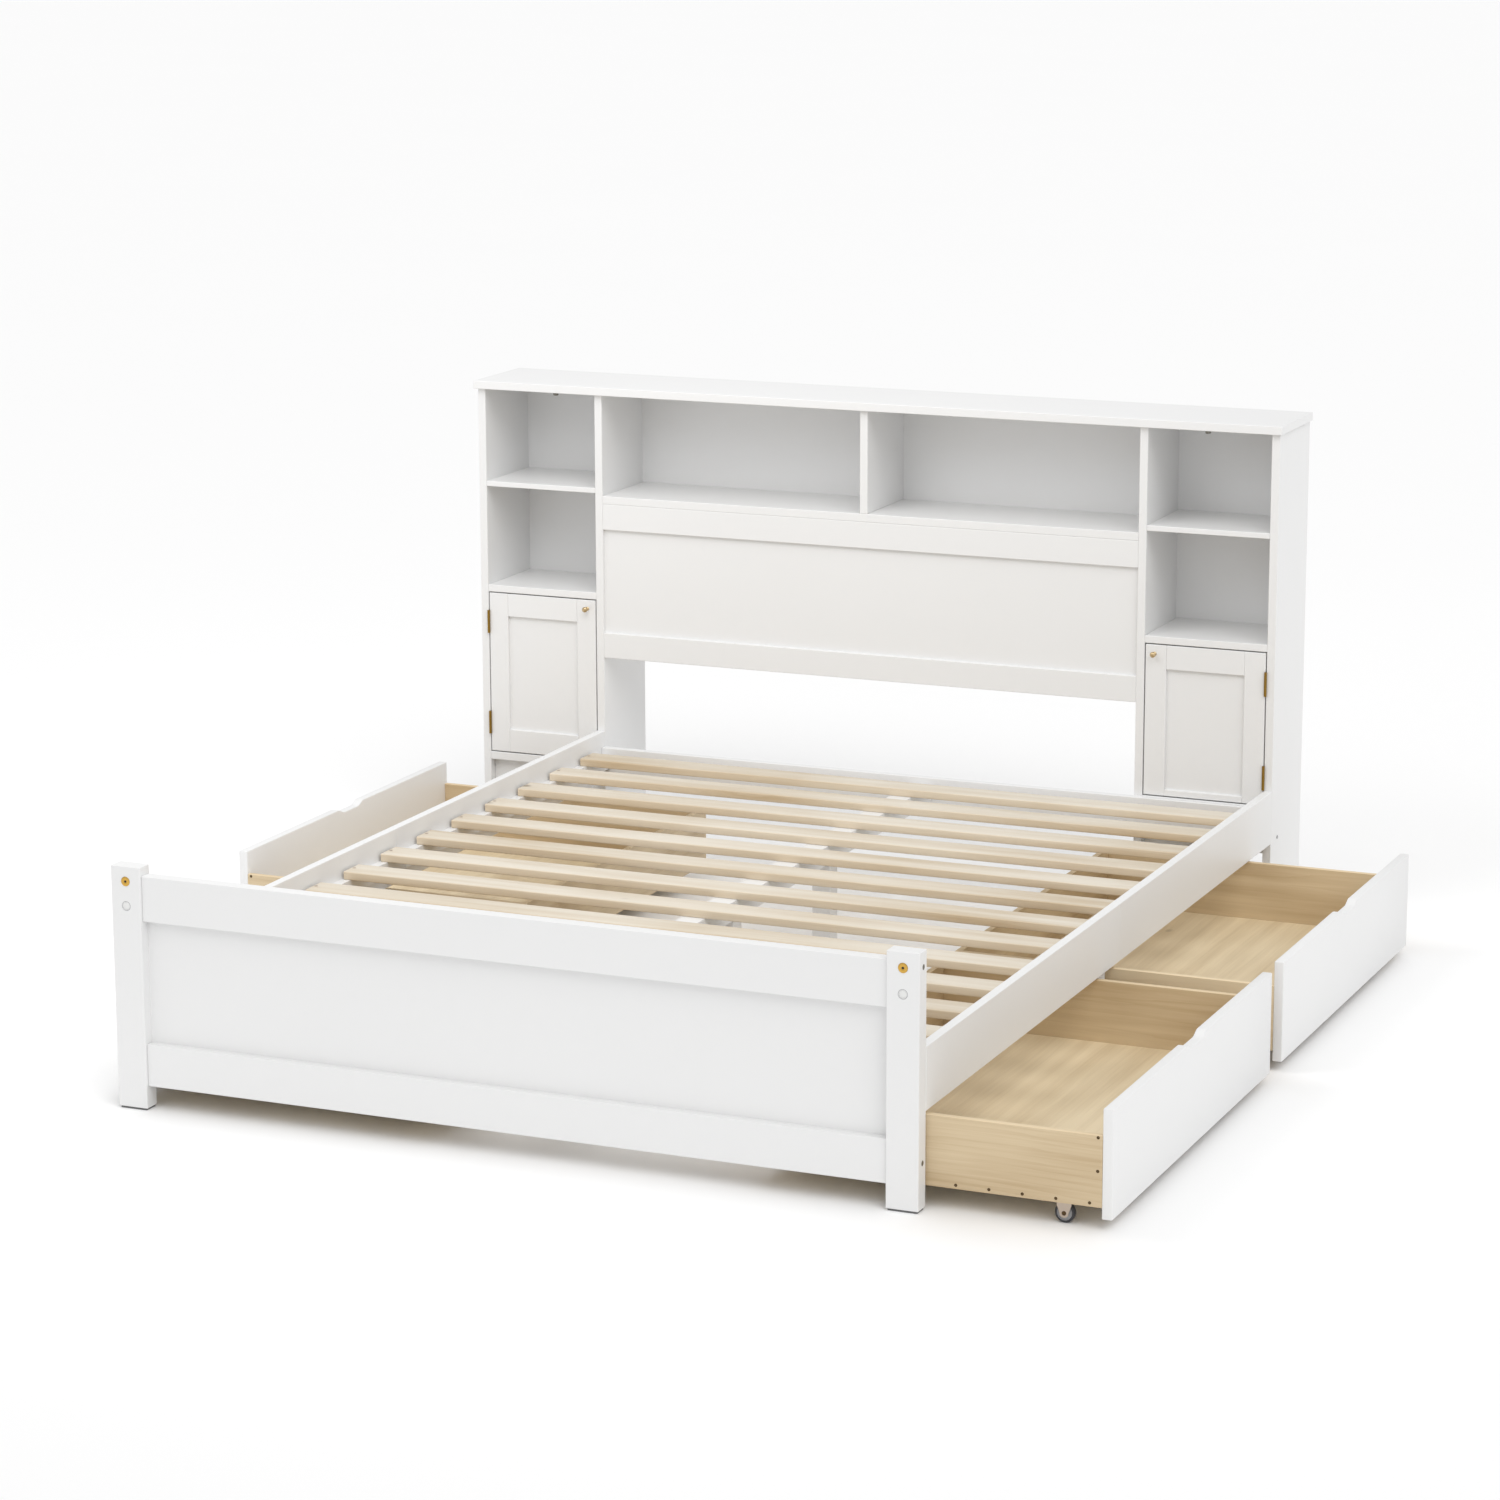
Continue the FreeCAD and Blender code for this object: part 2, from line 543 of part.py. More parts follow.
# ---- the whole bed ----------------------------------------------------------------------
os.makedirs("parts", exist_ok=True)
footboard()
deck()
corner_brackets()
foot_glides()
uprights()
cabinets()
back_rest()
back_panels()
head_top()
doors()
for drawer_name, (drawer_side, drawer_ends, drawer_out) in DRAWERS.items():
    drawer(drawer_name, drawer_side, drawer_ends, drawer_out)
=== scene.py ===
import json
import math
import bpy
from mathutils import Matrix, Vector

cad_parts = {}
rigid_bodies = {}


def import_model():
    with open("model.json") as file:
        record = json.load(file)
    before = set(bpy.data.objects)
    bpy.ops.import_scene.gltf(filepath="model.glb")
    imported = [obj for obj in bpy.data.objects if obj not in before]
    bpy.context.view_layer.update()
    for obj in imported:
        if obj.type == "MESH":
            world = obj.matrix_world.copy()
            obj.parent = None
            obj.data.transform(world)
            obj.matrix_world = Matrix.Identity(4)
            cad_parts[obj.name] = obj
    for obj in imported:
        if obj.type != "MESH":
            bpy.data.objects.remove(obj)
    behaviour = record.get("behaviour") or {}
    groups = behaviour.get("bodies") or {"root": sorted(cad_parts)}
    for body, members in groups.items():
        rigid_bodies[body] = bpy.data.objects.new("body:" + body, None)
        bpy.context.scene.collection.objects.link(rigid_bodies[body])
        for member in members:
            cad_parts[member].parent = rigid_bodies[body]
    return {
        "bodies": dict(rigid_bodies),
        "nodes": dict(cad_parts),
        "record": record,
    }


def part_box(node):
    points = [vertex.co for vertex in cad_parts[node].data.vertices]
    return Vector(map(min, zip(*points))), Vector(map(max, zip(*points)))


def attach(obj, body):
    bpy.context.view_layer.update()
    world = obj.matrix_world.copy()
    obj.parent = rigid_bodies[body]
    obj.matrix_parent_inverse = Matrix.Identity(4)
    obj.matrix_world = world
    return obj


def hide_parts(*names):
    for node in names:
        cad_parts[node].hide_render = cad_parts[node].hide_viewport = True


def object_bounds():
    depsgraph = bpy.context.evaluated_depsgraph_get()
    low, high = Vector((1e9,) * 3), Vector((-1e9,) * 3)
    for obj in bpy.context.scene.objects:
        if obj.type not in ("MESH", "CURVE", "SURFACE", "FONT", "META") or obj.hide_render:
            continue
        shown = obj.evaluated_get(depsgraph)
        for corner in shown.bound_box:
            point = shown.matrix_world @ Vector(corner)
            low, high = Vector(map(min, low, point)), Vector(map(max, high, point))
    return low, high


bl_info = {
    "name": "Storage Bed",
    "version": (1, 0, 0),
    "blender": (4, 5, 0),
    "location": "View3D > Sidebar > Storage Bed",
    "description": "Dresses the frame of a platform bed: paint, pine, fittings, casters and a studio",
    "category": "Object",
}

import bmesh
import bpy
from bpy.props import FloatProperty, FloatVectorProperty, IntProperty, PointerProperty
from mathutils import Euler, Matrix, Vector

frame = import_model()
CAD_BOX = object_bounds()

BED = "bed_frame"
MM = 0.001
DRAWERS = [name for name in frame["bodies"] if name.endswith("_drawer")]
DOORS = [name for name in frame["bodies"] if name.endswith("_door")]
SLAT_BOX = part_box("slats")
SLAT_COUNT = 13
SLAT_WIDTH = 66 * MM
BOX_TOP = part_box(DRAWERS[0] + "_box")[1].z


# ---- node trees ---------------------------------------------------------------------------
class Value:
    """A socket that can be used in arithmetic. Each operator adds one Math node."""

    def __init__(self, tree, socket):
        self.tree = tree
        self.socket = socket

    def math(self, operation, *others):
        inputs = {i: value for i, value in enumerate((self, *others))}
        return self.tree.add("ShaderNodeMath", {"operation": operation}, inputs)

    def __add__(self, other):
        return self.math("ADD", other)

    def __radd__(self, other):
        return self.math("ADD", other)

    def __sub__(self, other):
        return self.math("SUBTRACT", other)

    def __rsub__(self, other):
        return self.tree.add("ShaderNodeMath", {"operation": "SUBTRACT"}, {0: other, 1: self})

    def __mul__(self, other):
        return self.math("MULTIPLY", other)

    def __rmul__(self, other):
        return self.math("MULTIPLY", other)

    def __truediv__(self, other):
        return self.math("DIVIDE", other)

    def __pow__(self, other):
        return self.math("POWER", other)


class Tree:
    """A node tree, with one method that adds any node to it."""

    def __init__(self, nodes):
        self.nodes = nodes

    def add(self, kind, settings=None, inputs=None, output=0):
        """Adds a node: its settings first, then its sockets' values or links. Returns one output."""
        node = self.nodes.nodes.new(kind)
        for key, value in (settings or {}).items():
            if key == "stops":
                set_stops(node.color_ramp, value)
            else:
                setattr(node, key, value)
        for key, value in (inputs or {}).items():
            socket = node.inputs[key]
            if isinstance(value, Value):
                self.nodes.links.new(value.socket, socket)
            else:
                socket.default_value = value
        if output is None:
            return node
        return Value(self, node.outputs[output])


def set_stops(ramp, stops):
    """Gives a colour ramp its stops: pairs of a place and a colour."""
    while len(ramp.elements) > 1:
        ramp.elements.remove(ramp.elements[-1])
    ramp.elements[0].position = stops[0][0]
    ramp.elements[0].color = (*stops[0][1], 1)
    for place, colour in stops[1:]:
        ramp.elements.new(place).color = (*colour, 1)


class Finish(Tree):
    """A material's node tree, with its Principled shader."""

    def __init__(self, name, colour, roughness, metallic=0.0, coat=0.0):
        self.material = bpy.data.materials.new(name)
        self.material.use_nodes = True
        super().__init__(self.material.node_tree)
        self.shader = self.nodes.nodes["Principled BSDF"]
        self.material.diffuse_color = (*colour, 1)
        self.set("Base Color", (*colour, 1))
        self.set("Roughness", roughness)
        self.set("Metallic", metallic)
        self.set("Coat Weight", coat)

    def set(self, name, value):
        """Sets or links one socket of the shader."""
        socket = self.shader.inputs[name]
        if isinstance(value, Value):
            self.nodes.links.new(value.socket, socket)
        else:
            socket.default_value = value

    def place(self, scale=(1, 1, 1)):
        """Object coordinates, stretched by scale."""
        coords = self.add("ShaderNodeTexCoord", output=3)
        return self.add("ShaderNodeMapping", inputs={0: coords, 3: scale})

    def noise(self, at, scale, detail=2.0, roughness=0.5, distortion=0.0):
        return self.add("ShaderNodeTexNoise", inputs={
            "Vector": at, "Scale": scale, "Detail": detail, "Roughness": roughness, "Distortion": distortion})

    def blend(self, mask, first, second):
        """A colour between two, by a mask from 0 to 1."""
        inputs = {0: mask}
        for key, colour in ((6, first), (7, second)):
            inputs[key] = colour if isinstance(colour, Value) else (*colour, 1)
        return self.add("ShaderNodeMix", {"data_type": "RGBA"}, inputs, output=2)

    def between(self, value, low, high):
        """A value from 0 to 1, moved to run from low to high."""
        return self.add("ShaderNodeMapRange", inputs={0: value, 3: low, 4: high})

    def bump(self, height, distance, strength=1.0):
        self.set("Normal", self.add("ShaderNodeBump", inputs={
            "Height": height, "Distance": distance, "Strength": strength}))


# ---- finishes -----------------------------------------------------------------------------
def darker(colour, share):
    return tuple(channel * share for channel in colour)


def paint_finish(look):
    """Sprayed satin lacquer: a trace of orange peel, and the grain of the boards just under it."""
    colour = tuple(look.paint)
    finish = Finish("white_satin_paint", colour, 0.4)
    at = finish.place()
    cloud = finish.noise(at, 2.2, 3.0)
    finish.set("Base Color", finish.blend(cloud, darker(colour, 0.975), colour))
    peel = finish.noise(at, 320.0, 2.0)
    finish.set("Roughness", finish.between(finish.noise(at, 9.0, 4.0), 0.34, 0.46))
    finish.bump(peel * 0.35 + finish.noise(at, 38.0, 3.0), 0.00012)
    return finish.material


def pine_finish(name, light, dark, ring_contrast, highlight_above=10.0):
    """Clear pine, cut as a solid: growth rings about a pith that runs along the board's first axis.

    The board attribute holds each point's place in its own board: along, across and through.
    Faces marked 1 by a named attribute, the slats' long sides that face along Y, are tinted a warmer tan:
    painted shade. Points above the given height are painted paler: a painted highlight along the top edges."""
    light, dark = tuple(light), tuple(dark)
    finish = Finish(name, light, 0.5)
    board = finish.add("ShaderNodeAttribute", {"attribute_name": "board"}, output=1)
    wander = finish.add("ShaderNodeMapping", inputs={0: board, 3: (1.1, 5.0, 5.0)})
    split = finish.add("ShaderNodeSeparateXYZ", inputs={0: board}, output=None)
    across = Value(finish, split.outputs[1]) + (finish.noise(wander, 1.0, 2.0) - 0.5) * 0.05
    through = Value(finish, split.outputs[2]) + (finish.noise(wander, 1.7, 1.0) - 0.5) * 0.03
    radius = (across * across + through * through) ** 0.5
    fibre_at = finish.add("ShaderNodeMapping", inputs={0: board, 3: (14.0, 900.0, 900.0)})
    fibre = finish.noise(fibre_at, 1.0, 3.0, 0.6)
    streak_at = finish.add("ShaderNodeMapping", inputs={0: board, 3: (1.6, 34.0, 34.0)})
    streak = finish.noise(streak_at, 1.0, 3.0, 0.55)
    phase = (radius * 85.0 + streak * 2.6).math("FRACT")
    ring = phase ** 1.8 * (1.0 - phase.math("GREATER_THAN", 0.94))
    cloud_at = finish.add("ShaderNodeMapping", inputs={0: board, 3: (2.5, 6.0, 6.0)})
    cloud = finish.noise(cloud_at, 1.0, 2.0)
    # knots: rare small cells, stretched a little along the board
    knot_at = finish.add("ShaderNodeMapping", inputs={0: board, 3: (3.2, 5.5, 5.5)})
    cell = finish.add("ShaderNodeTexVoronoi", inputs={"Vector": knot_at, "Scale": 1.0, "Randomness": 1.0})
    knot = finish.add("ShaderNodeMapRange", {"interpolation_type": "SMOOTHSTEP"},
                      {0: cell, 1: 0.028, 2: 0.075, 3: 1.0, 4: 0.0})
    tone = ring * ring_contrast + (streak - 0.5) * 1.5 + (fibre - 0.5) * 0.4 + (cloud - 0.5) * 1.5 + 0.3
    colour = finish.add("ShaderNodeValToRGB", {"stops": (
        (0.0, light), (0.55, tuple((a + b) / 2 for a, b in zip(light, dark))), (1.0, dark))}, {0: tone})
    colour = finish.blend(knot * 0.75, colour, darker(dark, 0.42))
    height = finish.add("ShaderNodeSeparateXYZ", inputs={0: finish.place()}, output=2)
    # painted highlight: points above that height (the drawer boxes' top edges) are painted paler, for the
    # light from above
    top_highlight = height.math("GREATER_THAN", highlight_above) * 0.55
    colour = finish.blend(top_highlight, colour, darker(light, 1.25))
    # painted shade: the slats' side faces are tinted a warmer, deeper tan, for the shade and warm bounce
    # light between the slats
    sawn = finish.add("ShaderNodeAttribute", {"attribute_name": "sawn"}, output=2)
    finish.set("Base Color", finish.add("ShaderNodeMix", {"data_type": "RGBA", "blend_type": "MULTIPLY"},
                                        {0: sawn, 6: colour, 7: (1.06, 0.97, 0.85, 1)}, output=2))
    finish.set("Roughness", finish.between(fibre, 0.42, 0.6))
    finish.bump(fibre * 0.7 - ring * 0.5, 0.0001)
    return finish.material


def metal_finish(name, colour, roughness):
    """Plated metal, a little uneven, with fine rubbing marks."""
    finish = Finish(name, colour, roughness, metallic=1.0)
    at = finish.place()
    smear = finish.noise(at, 60.0, 3.0)
    finish.set("Base Color", finish.blend(smear, darker(colour, 0.82), colour))
    finish.set("Roughness", finish.between(smear, roughness * 0.75, roughness * 1.35))
    scratch = finish.noise(finish.place((900, 900, 90)), 1.0, 2.0)
    finish.bump(scratch, 0.00003)
    return finish.material


def moulded_finish(name, colour, roughness, grit=600.0):
    """Moulded plastic or rubber, with a fine eroded texture."""
    finish = Finish(name, colour, roughness)
    at = finish.place()
    grain = finish.noise(at, grit, 2.0)
    cloud = finish.noise(at, 30.0, 2.0)
    finish.set("Base Color", finish.blend(cloud, darker(colour, 0.88), colour))
    finish.set("Roughness", finish.between(cloud, roughness * 0.9, min(1.0, roughness * 1.12)))
    finish.bump(grain, 0.00006)
    return finish.material


def floor_finish(look):
    """A seamless studio floor."""
    colour = tuple(look.floor)
    finish = Finish("studio_floor", colour, 0.9)
    cloud = finish.noise(finish.place(), 0.6, 2.0)
    finish.set("Base Color", finish.blend(cloud, darker(colour, 0.992), colour))
    return finish.material


FINISH_MAKERS = {
    "white_satin_paint": lambda look: paint_finish(look),
    "slat_pine": lambda look: pine_finish("slat_pine", look.slat_light, look.slat_dark, 0.16),
    # painted highlight along the drawer boxes' top edges, from 0.8 mm under their top
    "drawer_pine": lambda look: pine_finish("drawer_pine", look.pine_light, look.pine_dark, 0.22,
                                            BOX_TOP - 0.8 * MM),
    "bottom_ply": lambda look: pine_finish("bottom_ply", look.ply_light, look.ply_dark, 0.14),
    "brass_plate": lambda look: metal_finish("brass_plate", tuple(look.brass), 0.28),
    "pale_brass": lambda look: metal_finish("pale_brass", (0.62, 0.47, 0.27), 0.34),
    "aged_brass": lambda look: metal_finish("aged_brass", darker(look.brass, 0.45), 0.4),
    "dark_screw": lambda look: metal_finish("dark_screw", (0.13, 0.085, 0.045), 0.5),
    "dull_steel": lambda look: metal_finish("dull_steel", (0.24, 0.23, 0.20), 0.42),
    # painted shade: the glides' dark grey is felt, and also a painted contact shadow at the posts' feet
    "grey_felt": lambda look: moulded_finish("grey_felt", (0.16, 0.16, 0.16), 0.9, 1400.0),
    # painted reflection: the plated steel is tinted warm, partly for the pine that it reflects
    "zinc_sheet": lambda look: metal_finish("zinc_sheet", (0.58, 0.49, 0.41), 0.36),
    "white_plastic": lambda look: moulded_finish("white_plastic", (0.80, 0.80, 0.79), 0.42),
    "grey_plastic": lambda look: moulded_finish("grey_plastic", (0.36, 0.36, 0.37), 0.45),
    # painted shade: a near-black fill that stands for the shade inside the nuts' sockets
    "dark_recess": lambda look: moulded_finish("dark_recess", (0.02, 0.018, 0.015), 0.7),
    "tyre_rubber": lambda look: moulded_finish("tyre_rubber", (0.045, 0.045, 0.05), 0.72, 900.0),
}


made_finishes = {}


def finish(name):
    """The finish of that name, made the first time that it's asked for."""
    if name not in made_finishes:
        made_finishes[name] = FINISH_MAKERS[name](bpy.context.scene.bed_look)
    return made_finishes[name]


# ---- mesh helpers -------------------------------------------------------------------------
def mesh_object(name, bm, *finishes, smooth_angle=35):
    """A new object from a bmesh, shaded smooth except over sharp edges."""
    mesh = bpy.data.meshes.new(name)
    bmesh.ops.recalc_face_normals(bm, faces=bm.faces)
    bm.to_mesh(mesh)
    bm.free()
    return dressed(name, mesh, *finishes, smooth_angle=smooth_angle)


def dressed(name, mesh, *finishes, smooth_angle=35):
    """A new object for a mesh, at the origin, with its finishes."""
    piece = bpy.data.objects.new(name, mesh)
    bpy.context.scene.collection.objects.link(piece)
    mesh.materials.clear()
    for each in finishes:
        mesh.materials.append(finish(each))
    mesh.shade_smooth()
    mesh.set_sharp_from_angle(angle=math.radians(smooth_angle))
    return piece


def add_board(bm, low, high, edge, seed, along="x", segments=3):
    """Adds a board with rounded edges, and writes each vertex's place in the board."""
    layer = bm.verts.layers.float_vector.get("board") or bm.verts.layers.float_vector.new("board")
    old = set(bm.verts)
    size = Vector(high) - Vector(low)
    middle = (Vector(high) + Vector(low)) / 2
    place = Matrix.Translation(middle) @ Matrix.Diagonal((*size, 1))
    made = bmesh.ops.create_cube(bm, size=1.0, matrix=place)
    edges = list({e for v in made["verts"] for e in v.link_edges})
    bmesh.ops.bevel(bm, geom=edges, offset=edge, segments=segments, profile=0.5, affect="EDGES")
    thin = min(range(3), key=lambda i: size[i])
    first = "xyz".index(along)
    wide = next(i for i in range(3) if i not in (first, thin))
    for vert in bm.verts:
        if vert not in old:
            local = vert.co - middle
            vert[layer] = (local[first] + 1.7 * seed, local[wide] + 0.02 * math.sin(5.1 * seed),
                           local[thin] + 0.05 + 0.045 * math.cos(3.3 * seed))


def lathe(profile, segments, axis="z"):
    """A closed turned piece: profile holds pairs of a radius and a place along the axis."""
    bm = bmesh.new()
    rings = []
    for radius, along in profile:
        if radius < 1e-7:
            rings.append([bm.verts.new((0, 0, along))])
            continue
        angles = [2 * math.pi * i / segments for i in range(segments)]
        rings.append([bm.verts.new((radius * math.cos(a), radius * math.sin(a), along)) for a in angles])
    for lower, upper in zip(rings, rings[1:]):
        for i in range(segments):
            corners = [lower[i % len(lower)], lower[(i + 1) % len(lower)],
                       upper[(i + 1) % len(upper)], upper[i % len(upper)]]
            bm.faces.new(list(dict.fromkeys(corners)))
    right_angle = math.radians(90)
    turn = {"z": (0, 0, 0), "y": (-right_angle, 0, 0), "x": (0, right_angle, 0)}[axis]
    bmesh.ops.rotate(bm, verts=bm.verts, matrix=Euler(turn).to_matrix())
    return bm


def template(name, bm):
    """A small mesh that a node tree copies. It is removed once the copies are made."""
    mesh = bpy.data.meshes.new(name)
    bmesh.ops.recalc_face_normals(bm, faces=bm.faces)
    bm.to_mesh(mesh)
    bm.free()
    piece = bpy.data.objects.new(name, mesh)
    bpy.context.scene.collection.objects.link(piece)
    return piece


# ---- geometry node trees ------------------------------------------------------------------
class Builder(Tree):
    """A geometry node tree with named inputs, which makes one plain mesh."""

    def __init__(self, name, inputs):
        group = bpy.data.node_groups.new(name, "GeometryNodeTree")
        super().__init__(group)
        self.identifiers = {}
        for label, kind in inputs.items():
            socket = group.interface.new_socket(label, in_out="INPUT", socket_type="NodeSocket" + kind)
            self.identifiers[label] = socket.identifier
        group.interface.new_socket("Mesh", in_out="OUTPUT", socket_type="NodeSocketGeometry")
        source = group.nodes.new("NodeGroupInput")
        self.input = {label: Value(self, source.outputs[label]) for label in inputs}

    def close(self, geometry):
        """Ends the tree in Realize Instances and Set Material."""
        real = self.add("GeometryNodeRealizeInstances", inputs={0: geometry})
        painted = self.add("GeometryNodeSetMaterial", inputs={
            "Geometry": real, "Material": self.input["Finish"]})
        sink = self.nodes.nodes.new("NodeGroupOutput")
        self.nodes.links.new(painted.socket, sink.inputs[0])

    def grow(self, name, values, finish_name, smooth_angle=35):
        """Runs the tree with these values and returns its result as a plain object."""
        holder = bpy.data.objects.new(name + "_holder", bpy.data.meshes.new(name + "_holder"))
        modifier = holder.modifiers.new("build", "NODES")
        modifier.node_group = self.nodes
        for label, value in {**values, "Finish": finish(finish_name)}.items():
            modifier[self.identifiers[label]] = value
        bpy.context.scene.collection.objects.link(holder)
        graph = bpy.context.evaluated_depsgraph_get()
        mesh = bpy.data.meshes.new_from_object(holder.evaluated_get(graph))
        holder.modifiers.remove(modifier)
        bpy.data.objects.remove(holder)
        return dressed(name, mesh, finish_name, smooth_angle=smooth_angle)


def slat_tree():
    """A row of slats: one rounded profile swept along X, copied along Y, each from its own board."""
    tree = Builder("slat_row", {"Count": "Int", "Pitch": "Float", "Length": "Float", "Width": "Float",
                                "Depth": "Float", "Edge": "Float", "Start": "Vector", "Seed": "Int",
                                "Finish": "Material"})
    given = tree.input
    section = tree.add("GeometryNodeCurvePrimitiveQuadrilateral", inputs={
        "Width": given["Width"], "Height": given["Depth"]})
    rounded = tree.add("GeometryNodeFilletCurve", {"mode": "POLY"},
                       {"Curve": section, "Count": 4, "Radius": given["Edge"]})
    half = given["Length"] / 2
    ends = [tree.add("ShaderNodeCombineXYZ", inputs={"X": x}) for x in (-1.0 * half, half)]
    line = tree.add("GeometryNodeCurvePrimitiveLine", inputs={"Start": ends[0], "End": ends[1]})
    slat = tree.add("GeometryNodeCurveToMesh", inputs={
        "Curve": line, "Profile Curve": rounded, "Fill Caps": True})
    position = tree.add("GeometryNodeInputPosition")
    kept = tree.add("GeometryNodeStoreNamedAttribute", {"data_type": "FLOAT_VECTOR", "domain": "POINT"},
                    {"Geometry": slat, "Name": "board", "Value": position})
    normal = tree.add("GeometryNodeInputNormal")
    facing = tree.add("ShaderNodeSeparateXYZ", inputs={0: normal}, output=1)
    # painted shade: marks the slats' side faces, which the pine finish tints warmer as painted shade
    kept = tree.add("GeometryNodeStoreNamedAttribute", {"data_type": "FLOAT", "domain": "POINT"},
                    {"Geometry": kept, "Name": "sawn", "Value": facing.math("ABSOLUTE")})
    step = tree.add("ShaderNodeCombineXYZ", inputs={"Y": given["Pitch"]})
    row = tree.add("GeometryNodeMeshLine", inputs={
        "Count": given["Count"], "Start Location": given["Start"], "Offset": step})
    laid = tree.add("GeometryNodeInstanceOnPoints", inputs={"Points": row, "Instance": kept})
    drawn = tree.add("FunctionNodeRandomValue", {"data_type": "FLOAT_VECTOR"},
                     {0: (-40.0, -0.05, 0.03), 1: (40.0, 0.05, 0.10), "Seed": given["Seed"]})
    tagged = tree.add("GeometryNodeStoreNamedAttribute", {"data_type": "FLOAT_VECTOR", "domain": "INSTANCE"},
                      {"Geometry": laid, "Name": "cut", "Value": drawn})
    real = tree.add("GeometryNodeRealizeInstances", inputs={0: tagged})
    place = tree.add("GeometryNodeInputNamedAttribute", {"data_type": "FLOAT_VECTOR"}, {"Name": "board"})
    cut = tree.add("GeometryNodeInputNamedAttribute", {"data_type": "FLOAT_VECTOR"}, {"Name": "cut"})
    moved = tree.add("ShaderNodeVectorMath", {"operation": "ADD"}, {0: place, 1: cut})
    final = tree.add("GeometryNodeStoreNamedAttribute", {"data_type": "FLOAT_VECTOR", "domain": "POINT"},
                     {"Geometry": real, "Name": "board", "Value": moved})
    tree.close(final)
    return tree


def copy_tree():
    """Copies of a small piece at the corners of a grid, each turned by chance about its own axis."""
    tree = Builder("piece_grid", {"Piece": "Object", "Start": "Vector", "Row step": "Vector",
                                  "Row count": "Int", "Column step": "Vector", "Column count": "Int",
                                  "Turn axis": "Vector", "Seed": "Int", "Finish": "Material"})
    given = tree.input
    column = tree.add("GeometryNodeMeshLine", inputs={
        "Count": given["Column count"], "Start Location": given["Start"], "Offset": given["Column step"]})
    row = tree.add("GeometryNodeMeshLine", inputs={
        "Count": given["Row count"], "Start Location": (0, 0, 0), "Offset": given["Row step"]})
    rows = tree.add("GeometryNodeInstanceOnPoints", inputs={"Points": column, "Instance": row})
    grid = tree.add("GeometryNodeRealizeInstances", inputs={0: rows})
    info = tree.add("GeometryNodeObjectInfo", {"transform_space": "ORIGINAL"},
                    {"Object": given["Piece"], "As Instance": False}, output="Geometry")
    drawn = tree.add("FunctionNodeRandomValue", {"data_type": "FLOAT"},
                     {2: 0.0, 3: 2 * math.pi, "Seed": given["Seed"]}, output=1)
    turn = tree.add("ShaderNodeVectorMath", {"operation": "SCALE"}, {0: given["Turn axis"], "Scale": drawn})
    tree.close(tree.add("GeometryNodeInstanceOnPoints", inputs={
        "Points": grid, "Instance": info, "Rotation": turn}))
    return tree


TREES = {"slats": slat_tree, "copies": copy_tree}
built_trees = {}


def tree(name):
    """The node tree of that name, built the first time that it's asked for."""
    if name not in built_trees:
        built_trees[name] = TREES[name]()
    return built_trees[name]


ONE = (1, (0, 0, 0))


def copies(name, piece, finish_name, start, rows=ONE, columns=ONE, turn=(0, 0, 0), seed=7):
    """A grid of copies of a template, as one plain mesh. Rows and columns each hold a count and a step."""
    return tree("copies").grow(name, {
        "Piece": piece, "Start": tuple(start), "Row count": rows[0], "Row step": tuple(rows[1]),
        "Column count": columns[0], "Column step": tuple(columns[1]), "Turn axis": tuple(turn), "Seed": seed},
        finish_name)


def screw_head(radius, axis="z"):
    """A countersunk head with a crossed recess, its face just proud of the surface."""
    profile = [(0, -0.6), (0.35, -0.6), (0.5, -0.12), (0.94, -0.12), (1.0, 0.0), (1.0, 0.06), (0.9, 0.14),
               (0.42, 0.16), (0.3, 0.02), (0.12, -0.25), (0, -0.3)]
    bm = lathe([(r * radius, along * radius) for r, along in profile], 16)
    for turn in (0, 90):
        spin = Matrix.Rotation(math.radians(turn), 4, "Z")
        shape = Matrix.Diagonal((1.3 * radius, 0.16 * radius, 0.08 * radius, 1))
        bmesh.ops.create_cube(bm, size=1.0, matrix=spin @ Matrix.Translation((0, 0, 0.13 * radius)) @ shape)
    turns = {"z": 0, "y": -90, "-y": 90}
    bmesh.ops.rotate(bm, verts=bm.verts, matrix=Matrix.Rotation(math.radians(turns[axis]), 3, "X"))
    return bm


# ---- add-on: properties -------------------------------------------------------------------
def colour_property(label, text, default):
    return FloatVectorProperty(name=label, description=text, default=default, subtype="COLOR",
                               size=3, min=0, max=1)


class BedLook(bpy.types.PropertyGroup):
    """The colours that a user would change."""

    paint: colour_property("Paint", "Colour of the painted boards", (0.80, 0.80, 0.798))
    slat_light: colour_property("Slat, light", "Palest wood of the slats", (0.705, 0.65, 0.555))
    slat_dark: colour_property("Slat, dark", "Darkest grain of the slats", (0.53, 0.43, 0.295))
    pine_light: colour_property("Drawer pine, light", "Palest wood of the drawer boxes", (0.67, 0.54, 0.355))
    pine_dark: colour_property("Drawer pine, dark", "Darkest grain of the drawer boxes", (0.44, 0.31, 0.165))
    ply_light: colour_property("Bottom, light", "Palest wood of the drawers' bottoms", (0.82, 0.69, 0.475))
    ply_dark: colour_property("Bottom, dark", "Darkest grain of the drawers' bottoms", (0.58, 0.45, 0.275))
    brass: colour_property("Brass", "Colour of the brass fittings", (0.74, 0.45, 0.10))
    floor: colour_property("Floor", "Colour of the studio floor", (0.97, 0.97, 0.97))


